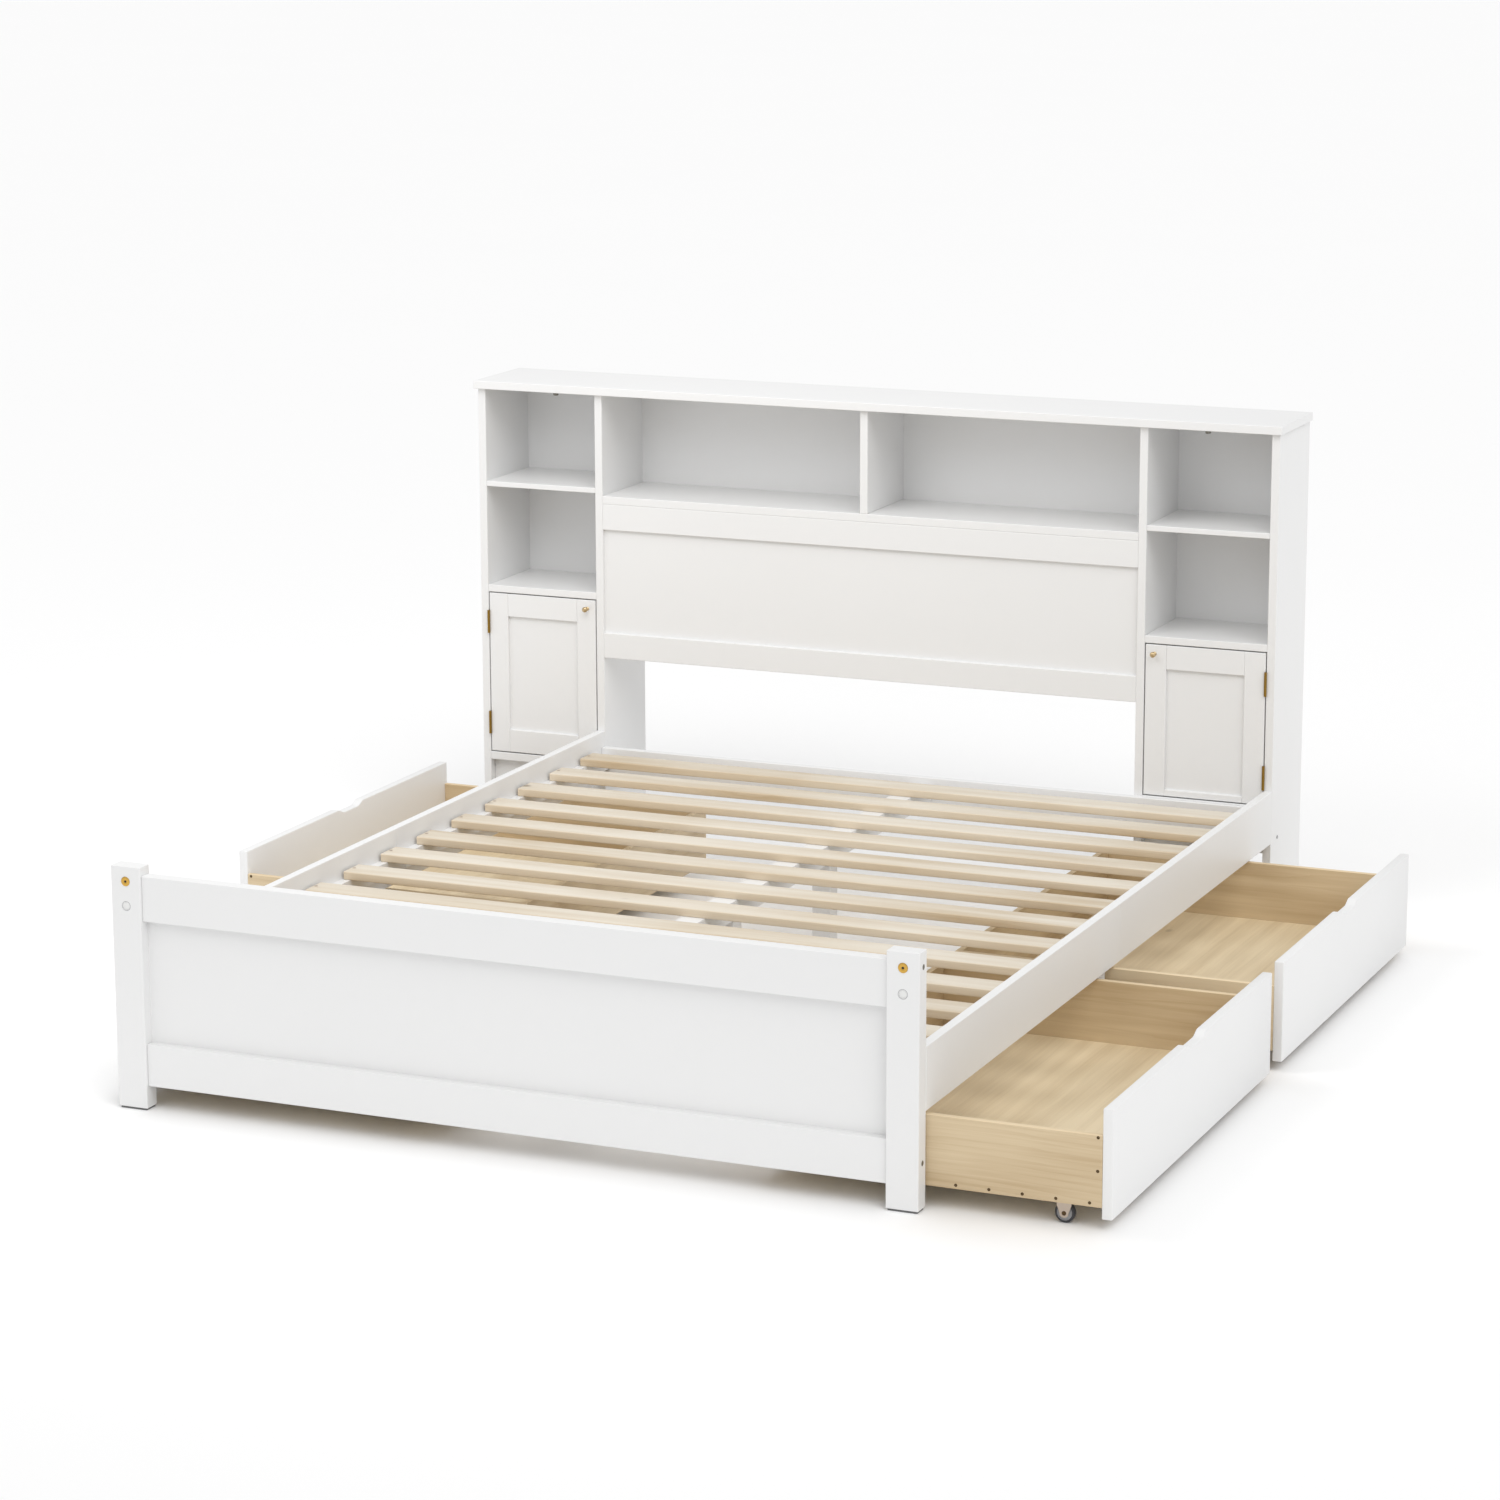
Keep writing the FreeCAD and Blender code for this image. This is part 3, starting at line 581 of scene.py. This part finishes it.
class BedSizes(bpy.types.PropertyGroup):
    """The sizes that a user would change."""

    slat_edge: FloatProperty(name="Slat edge", description="Radius of the slats' long edges",
                             default=2.5 * MM, min=0, max=8 * MM, unit="LENGTH")
    front_edge: FloatProperty(name="Front edge", description="Radius of the drawer fronts' edges",
                              default=2.0 * MM, min=0, max=6 * MM, unit="LENGTH")
    scoop_depth: FloatProperty(name="Scoop depth", description="Depth of the finger scoop in a drawer front",
                               default=9 * MM, min=0, max=30 * MM, unit="LENGTH")
    scoop_width: FloatProperty(name="Scoop width", description="Width of the scoop at the front's top edge",
                               default=116 * MM, min=0.04, max=0.3, unit="LENGTH")
    screw_radius: FloatProperty(name="Screw radius", description="Radius of the screw heads",
                                default=3.6 * MM, min=1 * MM, max=8 * MM, unit="LENGTH")
    seed: IntProperty(name="Seed", description="Chooses the boards that the slats are cut from",
                      default=11, min=0)


# ---- add-on: operators --------------------------------------------------------------------
class BED_OT_painted_boards(bpy.types.Operator):
    """Paint the boards of the frame, the bookcase and the doors"""

    bl_idname = "bed.painted_boards"
    bl_label = "Painted boards"

    def execute(self, context):
        slots = {s["node"]: s["material_slot"] for s in frame["record"]["subparts"]}
        coats = {"white_paint": "white_satin_paint", "plastic": "white_plastic", "brass": "aged_brass",
                 "steel": "dull_steel", "zinc_plate": "zinc_sheet", "roller": "grey_plastic",
                 "pine": "drawer_pine"}
        for name, node in frame["nodes"].items():
            node.data.materials.clear()
            # the foot glides' dark grey is partly a painted contact shadow under the posts
            coat = "grey_felt" if name == "foot_glides" else coats[slots[name]]
            node.data.materials.append(finish(coat))
        return {"FINISHED"}


class BED_OT_slats(bpy.types.Operator):
    """Lay the pine slats, with a screw in each end"""

    bl_idname = "bed.slats"
    bl_label = "Slats"

    def execute(self, context):
        sizes = context.scene.bed_sizes
        low, high = SLAT_BOX
        pitch = (high.y - low.y - SLAT_WIDTH) / (SLAT_COUNT - 1)
        start = (0, low.y + SLAT_WIDTH / 2, (low.z + high.z) / 2)
        slats = tree("slats").grow("pine_slats", {
            "Count": SLAT_COUNT, "Pitch": pitch, "Length": high.x - low.x, "Width": SLAT_WIDTH,
            "Depth": high.z - low.z, "Edge": sizes.slat_edge, "Start": start, "Seed": sizes.seed},
            "slat_pine")
        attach(slats, BED)
        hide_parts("slats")

        screw_low, screw_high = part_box("slat_screws")
        head = template("slat_screw_head", screw_head(sizes.screw_radius))
        reach = screw_high.x - screw_low.x - 2 * 4 * MM
        screws = copies("slat_screw_heads", head, "zinc_sheet",
                        (-reach / 2, start[1], high.z),
                        rows=(2, (reach, 0, 0)), columns=(SLAT_COUNT, (0, pitch, 0)), turn=(0, 0, 1))
        bpy.data.objects.remove(head)
        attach(screws, BED)
        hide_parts("slat_screws")
        return {"FINISHED"}


def scoop_profile(middle, top, sizes):
    """The front's outline in Y and Z: straight edges, and a smooth shallow scoop in the top one."""
    half, depth, steps = sizes.scoop_width / 2, sizes.scoop_depth, 28
    flat = half * 0.5
    points = []
    for i in range(steps + 1):
        along = -half + 2 * half * i / steps
        share = min(1.0, max(0.0, (abs(along) - flat) / (half - flat)))
        dip = depth * (0.5 + 0.5 * math.cos(math.pi * share))
        points.append((middle + along, top - dip))
    return points


class BED_OT_drawer_fronts(bpy.types.Operator):
    """Cut the drawer fronts, each with a finger scoop in its top edge"""

    bl_idname = "bed.drawer_fronts"
    bl_label = "Drawer fronts"

    def execute(self, context):
        sizes = context.scene.bed_sizes
        for drawer in DRAWERS:
            low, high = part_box(drawer + "_front")
            middle = (low.y + high.y) / 2
            outline = [(low.y, low.z), (low.y, high.z)]
            outline += scoop_profile(middle, high.z, sizes)
            outline += [(high.y, high.z), (high.y, low.z)]
            bm = bmesh.new()
            face = bm.faces.new([bm.verts.new((low.x, y, z)) for y, z in outline])
            made = bmesh.ops.extrude_face_region(bm, geom=[face])
            moved = [v for v in made["geom"] if isinstance(v, bmesh.types.BMVert)]
            bmesh.ops.translate(bm, verts=moved, vec=(high.x - low.x, 0, 0))
            bmesh.ops.recalc_face_normals(bm, faces=bm.faces)
            corners = {(low.y, low.z), (low.y, high.z), (high.y, high.z), (high.y, low.z)}
            edges = []
            for edge in bm.edges:
                ends = [(v.co.y, v.co.z) for v in edge.verts]
                along_x = abs(edge.verts[0].co.x - edge.verts[1].co.x) > 1e-6
                near = any(abs(ends[0][0] - y) + abs(ends[0][1] - z) < 1e-6 for y, z in corners)
                if not along_x or near:
                    edges.append(edge)
            bmesh.ops.bevel(bm, geom=edges, offset=sizes.front_edge, segments=3, profile=0.5, affect="EDGES")
            bmesh.ops.triangulate(bm, faces=[f for f in bm.faces if len(f.verts) > 4])
            front = mesh_object(drawer + "_painted_front", bm, "white_satin_paint")
            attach(front, drawer)
            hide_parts(drawer + "_front")
        return {"FINISHED"}


BOX_BOARD = 12 * MM
BOX_BOTTOM = 6 * MM
BATTEN_HEIGHT = 60 * MM
END_SCREW_INSET = 8 * MM        # screws into the front, from its inner face
END_SCREW_HEIGHTS = (64 * MM, 123 * MM)    # above the box's lower edge
FOOT_SCREW_INSET = 21.5 * MM
FOOT_SCREW_HEIGHT = 7 * MM
FOOT_SCREWS = 10
FOOT_SCREW_PITCH = 60 * MM


class BED_OT_drawer_boxes(bpy.types.Operator):
    """Build the pine drawer boxes, and their screws"""

    bl_idname = "bed.drawer_boxes"
    bl_label = "Drawer boxes"

    def execute(self, context):
        sizes = context.scene.bed_sizes
        for number, drawer in enumerate(DRAWERS):
            low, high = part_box(drawer + "_box")
            front_low, front_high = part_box(drawer + "_front")
            outward = 1 if front_low.x > low.x + 0.1 else -1
            seed = 3.7 * number + 1.3
            bm = bmesh.new()
            inner_low = Vector((low.x + BOX_BOARD, low.y + BOX_BOARD, low.z))
            inner_high = Vector((high.x - BOX_BOARD, high.y - BOX_BOARD, high.z))
            edge = 1.0 * MM
            add_board(bm, low, (high.x, inner_low.y, high.z), edge, seed)
            add_board(bm, (low.x, inner_high.y, low.z), high, edge, seed + 1)
            back_x = (low.x, inner_low.x) if outward > 0 else (inner_high.x, high.x)
            batten_x = (inner_high.x, high.x) if outward > 0 else (low.x, inner_low.x)
            add_board(bm, (back_x[0], inner_low.y, low.z), (back_x[1], inner_high.y, high.z),
                      edge, seed + 2, "y")
            add_board(bm, (batten_x[0], inner_low.y, low.z),
                      (batten_x[1], inner_high.y, low.z + BATTEN_HEIGHT), edge, seed + 3, "y")
            box = mesh_object(drawer + "_pine_box", bm, "drawer_pine")
            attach(box, drawer)
            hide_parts(drawer + "_box")
            bm = bmesh.new()
            add_board(bm, inner_low, (inner_high.x, inner_high.y, low.z + BOX_BOTTOM),
                      0.4 * MM, seed + 4, "y", 1)
            bottom = mesh_object(drawer + "_bottom", bm, "bottom_ply")
            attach(bottom, drawer)
            self.screws(drawer, low, high, outward, sizes, number)
        return {"FINISHED"}

    def screws(self, drawer, low, high, outward, sizes, number):
        """Screws through both sides: two into the back and the front, and a row into the bottom."""
        front_x = high.x if outward > 0 else low.x
        back_x = low.x if outward > 0 else high.x
        radius = sizes.screw_radius * 0.8
        for end, y, axis in (("near", low.y, "-y"), ("far", high.y, "y")):
            head = template("side_screw_head", screw_head(radius, axis))
            lower, upper = END_SCREW_HEIGHTS
            first = Vector((front_x - outward * END_SCREW_INSET, y, low.z + lower))
            across = (back_x + outward * 6 * MM - first.x, 0, 0)
            ends = copies(f"{drawer}_{end}_end_screws", head, "dark_screw", first,
                          rows=(2, across), columns=(2, (0, 0, upper - lower)), turn=(0, 1, 0), seed=number)
            start = Vector((front_x - outward * FOOT_SCREW_INSET, y, low.z + FOOT_SCREW_HEIGHT))
            foot = copies(f"{drawer}_{end}_foot_screws", head, "dark_screw", start,
                          rows=(FOOT_SCREWS, (-outward * FOOT_SCREW_PITCH, 0, 0)), turn=(0, 1, 0),
                          seed=number + 20)
            bpy.data.objects.remove(head)
            for screws in (ends, foot):
                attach(screws, drawer)


class BED_OT_casters(bpy.types.Operator):
    """Fit the casters: folded forks, and rollers with rubber tyres"""

    bl_idname = "bed.casters"
    bl_label = "Casters"

    def execute(self, context):
        for drawer in DRAWERS:
            low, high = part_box(drawer + "_caster_brackets")
            for line in ("front", "rear"):
                wheel_low, wheel_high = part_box(f"{drawer}_{line}_wheels")
                radius = (wheel_high.z - wheel_low.z) / 2
                width = 12 * MM
                x = (wheel_low.x + wheel_high.x) / 2
                first = Vector((x, wheel_low.y + width / 2, radius))
                step = (0, wheel_high.y - wheel_low.y - width, 0)
                self.rollers(drawer, line, first, step, radius, width)
                parts = (("forks", self.fork(width, high.z - radius), "zinc_sheet"),
                         ("rivets", self.rivet(width), "dark_screw"))
                for part, bm, coat in parts:
                    piece = template(part, bm)
                    made = copies(f"{drawer}_{line}_{part}", piece, coat, first, rows=(2, step))
                    bpy.data.objects.remove(piece)
                    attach(made, drawer)
                    if (line, part) == ("front", "forks"):
                        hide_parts(drawer + "_caster_brackets")
        return {"FINISHED"}

    def rollers(self, drawer, line, first, step, radius, width):
        """The tyres and hubs on one axle line."""
        half = width / 2
        core = radius - 4.5 * MM
        tyre_profile = [(core, -half + 0.6 * MM), (core + 1.5 * MM, -half), (radius - 2.2 * MM, -half),
                        (radius - 0.8 * MM, -half + 0.8 * MM), (radius, -half + 2.6 * MM)]
        tyre_profile += [(r, -along) for r, along in reversed(tyre_profile)]
        bore = 2.6 * MM
        hub_profile = [(bore, -half + 0.4 * MM), (5.0 * MM, -half + 0.4 * MM), (5.6 * MM, -half + 2 * MM),
                       (core - 1.4 * MM, -half + 2 * MM), (core - 0.8 * MM, -half + 0.8 * MM),
                       (core, -half + 0.8 * MM)]
        hub_profile += [(r, -along) for r, along in reversed(hub_profile)]
        parts = (("tyres", tyre_profile, "tyre_rubber"), ("hubs", hub_profile, "grey_plastic"))
        for part, profile, coat in parts:
            piece = template("roller_part", lathe(profile + [profile[0]], 40, "y"))
            bmesh_clean(piece.data)
            made = copies(f"{drawer}_{line}_{part}", piece, coat, first, rows=(2, step))
            bpy.data.objects.remove(piece)
            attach(made, f"{drawer}_{line}_axle")
            if part == "tyres":
                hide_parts(f"{drawer}_{line}_wheels")

    def rivet(self, width):
        """The riveted axle: a pin with a low domed head outside each cheek."""
        cheek = width / 2 + 2.8 * MM
        half = [(0, -cheek - 1.3 * MM), (2.4 * MM, -cheek - 1.1 * MM), (4.0 * MM, -cheek - 0.4 * MM),
                (4.2 * MM, -cheek), (2.4 * MM, -cheek)]
        return lathe(half + [(r, -along) for r, along in reversed(half)], 20, "y")

    def fork(self, width, height):
        """A folded fork: a plate with rounded corners, and two cheeks with round ends."""
        bm = bmesh.new()
        sheet, plate = 1.6 * MM, 2.0 * MM
        add_board(bm, (-17 * MM, -15 * MM, height - plate), (17 * MM, 15 * MM, height), 0.5 * MM, 0, "x", 2)
        inner = width / 2 + 1.2 * MM
        cheek_half, foot_half, foot = 13 * MM, 8 * MM, 8 * MM
        for side in (-1, 1):
            outline = [(cheek_half, height - plate), (cheek_half, height - 9 * MM)]
            outline += [(foot_half * math.cos(a), -foot * math.sin(a))
                        for a in [math.pi * i / 14 for i in range(15)]]
            outline += [(-cheek_half, height - 9 * MM), (-cheek_half, height - plate)]
            face = bm.faces.new([bm.verts.new((x, side * inner, z)) for x, z in outline])
            made = bmesh.ops.extrude_face_region(bm, geom=[face])
            moved = [v for v in made["geom"] if isinstance(v, bmesh.types.BMVert)]
            bmesh.ops.translate(bm, verts=moved, vec=(0, side * sheet, 0))
        return bm


def bmesh_clean(mesh):
    """Merges the doubled ring of a closed profile and turns its faces outwards."""
    bm = bmesh.new()
    bm.from_mesh(mesh)
    bmesh.ops.remove_doubles(bm, verts=bm.verts, dist=1e-6)
    bmesh.ops.recalc_face_normals(bm, faces=bm.faces)
    bm.to_mesh(mesh)
    bm.free()


class BED_OT_door_knobs(bpy.types.Operator):
    """Turn the door knobs"""

    bl_idname = "bed.door_knobs"
    bl_label = "Door knobs"

    def execute(self, context):
        for door in DOORS:
            low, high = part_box(door + "_knob")
            reach = high.y - low.y
            profile = [(0, 0), (6.2, 0), (6.2, 0.9), (5.4, 1.7), (3.6, 2.4), (2.9, 4.0), (2.9, 8.5),
                       (4.2, 11.2), (7.0, 13.4), (8.3, 15.6), (8.5, 17.4), (7.6, 19.7), (5.2, 21.5),
                       (2.4, 22.3), (0, 22.5)]
            wide = (high.x - low.x) / 2 / max(r for r, along in profile)
            bm = lathe([(r * wide, along * reach / profile[-1][1]) for r, along in profile], 32, "y")
            centre = Vector(((low.x + high.x) / 2, high.y, (low.z + high.z) / 2))
            bmesh.ops.rotate(bm, verts=bm.verts, matrix=Matrix.Rotation(math.pi, 3, "X"))
            bmesh.ops.translate(bm, verts=bm.verts, vec=centre)
            knob = mesh_object(door + "_turned_knob", bm, "pale_brass", smooth_angle=50)
            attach(knob, door)
            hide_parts(door + "_knob")
        return {"FINISHED"}


class BED_OT_post_fittings(bpy.types.Operator):
    """Set the brass nuts and the white caps in the footboard's posts"""

    bl_idname = "bed.post_fittings"
    bl_label = "Post fittings"

    def execute(self, context):
        low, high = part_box("barrel_nuts")
        radius = (high.z - low.z) / 2
        reach = high.x - low.x - 2 * radius
        start = (-reach / 2, low.y, (low.z + high.z) / 2)
        rim = [(0, 4 * MM), (2.4 * MM, 4 * MM), (2.4 * MM, -0.4 * MM), (3.4 * MM, -1.0 * MM),
               (radius - 1.6 * MM, -1.2 * MM), (radius - 0.3 * MM, -0.5 * MM), (radius, 0.4 * MM),
               (radius, high.y - low.y), (0, high.y - low.y)]
        nut = template("barrel_nut", lathe(rim, 32, "y"))
        nuts = copies("brass_nuts", nut, "brass_plate", start, rows=(2, (reach, 0, 0)))
        bpy.data.objects.remove(nut)
        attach(nuts, BED)
        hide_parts("barrel_nuts")
        # painted shade: a near-black plug in each nut's socket, for the shade inside it
        plug = [(0, -0.2 * MM), (2.3 * MM, -0.2 * MM), (2.3 * MM, 2 * MM), (0, 2 * MM)]
        shade_plug = template("nut_socket", lathe(plug, 20, "y"))
        shade_plugs = copies("nut_sockets", shade_plug, "dark_recess", start, rows=(2, (reach, 0, 0)))
        bpy.data.objects.remove(shade_plug)
        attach(shade_plugs, BED)

        low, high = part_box("bolt_caps")
        radius = (high.z - low.z) / 2
        reach = high.x - low.x - 2 * radius
        start = (-reach / 2, low.y, (low.z + high.z) / 2)
        dome = [(0, -0.9 * MM), (radius * 0.45, -0.8 * MM), (radius * 0.72, -0.35 * MM),
                (radius * 0.8, 0.3 * MM), (radius * 0.84, 0.3 * MM), (radius * 0.9, -0.5 * MM),
                (radius, -0.1 * MM), (radius, 2.5 * MM), (0, 2.5 * MM)]
        cap = template("bolt_cap", lathe(dome, 32, "y"))
        caps = copies("white_caps", cap, "white_plastic", start, rows=(2, (reach, 0, 0)))
        bpy.data.objects.remove(cap)
        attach(caps, BED)
        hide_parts("bolt_caps")
        band = [(radius * 0.86, 0), (radius * 0.88, -0.25 * MM), (radius * 1.04, -0.25 * MM),
                (radius * 1.06, 0)]
        ring = template("cap_ring", lathe(band + [band[0]], 32, "y"))
        bmesh_clean(ring.data)
        rings = copies("cap_rings", ring, "grey_plastic", start, rows=(2, (reach, 0, 0)))
        bpy.data.objects.remove(ring)
        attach(rings, BED)
        return {"FINISHED"}


class BED_OT_head_fittings(bpy.types.Operator):
    """Fit the cover cap on the right upright and the cams under the top board"""

    bl_idname = "bed.head_fittings"
    bl_label = "Headboard fittings"

    def execute(self, context):
        low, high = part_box("right_outer_upright")
        profile = [(0, -0.6), (2.6, -0.6), (3.8, 0.2), (4.1, 0.9), (2.9, 1.5), (0, 1.7)]
        bm = lathe([(r * MM, along * MM) for r, along in profile], 24, "x")
        bmesh.ops.translate(bm, verts=bm.verts, vec=(high.x, low.y + 46 * MM, 180 * MM))
        cap = mesh_object("upright_cap", bm, "grey_plastic", smooth_angle=50)
        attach(cap, BED)

        top_low, top_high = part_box("headboard_top")
        ends = [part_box(side + "_outer_upright")[edge].x for side, edge in (("left", 1), ("right", 0))]
        start = Vector((ends[0] + 174 * MM, top_low.y + 16 * MM, top_low.z))
        reach = ends[1] - 140 * MM - start.x
        body = [(0, -7.0), (4.2, -7.0), (5.6, -6.2), (6.0, -5.0), (6.0, 0.4), (0, 0.4)]
        cam = template("cam", lathe([(r * MM, along * MM) for r, along in body], 20, "z"))
        cams = copies("top_cams", cam, "dull_steel", start, rows=(2, (reach, 0, 0)))
        bpy.data.objects.remove(cam)
        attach(cams, BED)
        return {"FINISHED"}


class BED_OT_stage(bpy.types.Operator):
    """Make the studio: a pale floor, soft lights and the camera"""

    bl_idname = "bed.stage"
    bl_label = "Studio"

    def execute(self, context):
        scene = context.scene
        mesh = bpy.data.meshes.new("floor")
        half = 90.0
        corners = [(-half, -half, 0), (half, -half, 0), (half, half, 0), (-half, half, 0)]
        mesh.from_pydata(corners, [], [(0, 1, 2, 3)])
        floor = bpy.data.objects.new("floor", mesh)
        scene.collection.objects.link(floor)
        mesh.materials.append(floor_finish(scene.bed_look))

        world = bpy.data.worlds.new("studio")
        world.use_nodes = True
        world.node_tree.nodes["Background"].inputs[0].default_value = (1.0, 1.0, 1.0, 1)
        world.node_tree.nodes["Background"].inputs[1].default_value = 0.79
        scene.world = world
        lamp = bpy.data.lights.new("soft_sun", "SUN")
        lamp.energy = 0.95
        lamp.angle = math.radians(42)
        sun = bpy.data.objects.new("soft_sun", lamp)
        sun.rotation_euler = Vector((0.5, -0.46, 0.74)).to_track_quat("Z", "Y").to_euler()
        scene.collection.objects.link(sun)

        lamp = bpy.data.lights.new("headboard_fill", "AREA")
        lamp.shape = "DISK"
        lamp.size = 1.6
        lamp.energy = 17.0
        fill = bpy.data.objects.new("headboard_fill", lamp)
        fill.location = (-0.6, -0.75, 2.45)
        aim = Vector((-0.2, 1.0, 0.8)) - fill.location
        fill.rotation_euler = aim.to_track_quat("-Z", "Y").to_euler()
        fill.visible_camera = False
        scene.collection.objects.link(fill)
        self.camera(scene)
        return {"FINISHED"}

    def camera(self, scene):
        """A long lens from the right of the foot end, a little above head height."""
        low, _ = CAD_BOX
        data = bpy.data.cameras.new("camera")
        data.lens = 104.03
        data.sensor_width = 36.0
        data.clip_end = 300.0
        camera = bpy.data.objects.new("camera", data)
        camera.location = (3.3047, low[1] - 6.5558, 2.3928)
        turn = Matrix.Rotation(0.407, 3, "Z") @ Matrix.Rotation(math.pi / 2 - 0.2217, 3, "X")
        camera.rotation_euler = (turn @ Matrix.Rotation(-0.003, 3, "Z")).to_euler()
        scene.collection.objects.link(camera)
        scene.camera = camera
        scene.view_settings.view_transform = "Standard"


PIECES = (BED_OT_painted_boards, BED_OT_slats, BED_OT_drawer_fronts, BED_OT_drawer_boxes, BED_OT_casters,
          BED_OT_door_knobs, BED_OT_post_fittings, BED_OT_head_fittings, BED_OT_stage)


class BED_PT_panel(bpy.types.Panel):
    """Lists the bed's colours and sizes, and the operators that make its pieces"""

    bl_idname = "BED_PT_panel"
    bl_label = "Storage Bed"
    bl_space_type = "VIEW_3D"
    bl_region_type = "UI"
    bl_category = "Storage Bed"

    def draw(self, context):
        for settings in (context.scene.bed_look, context.scene.bed_sizes):
            column = self.layout.column()
            for name in settings.__annotations__:
                column.prop(settings, name)
        for piece in PIECES:
            self.layout.operator(piece.bl_idname)


CLASSES = (BedLook, BedSizes, *PIECES, BED_PT_panel)


def register():
    for each in CLASSES:
        bpy.utils.register_class(each)
    bpy.types.Scene.bed_look = PointerProperty(type=BedLook)
    bpy.types.Scene.bed_sizes = PointerProperty(type=BedSizes)


def unregister():
    del bpy.types.Scene.bed_sizes
    del bpy.types.Scene.bed_look
    for each in reversed(CLASSES):
        bpy.utils.unregister_class(each)


def main():
    register()
    for piece in PIECES:
        group, name = piece.bl_idname.split(".")
        getattr(getattr(bpy.ops, group), name)()


if __name__ == "__main__":
    main()
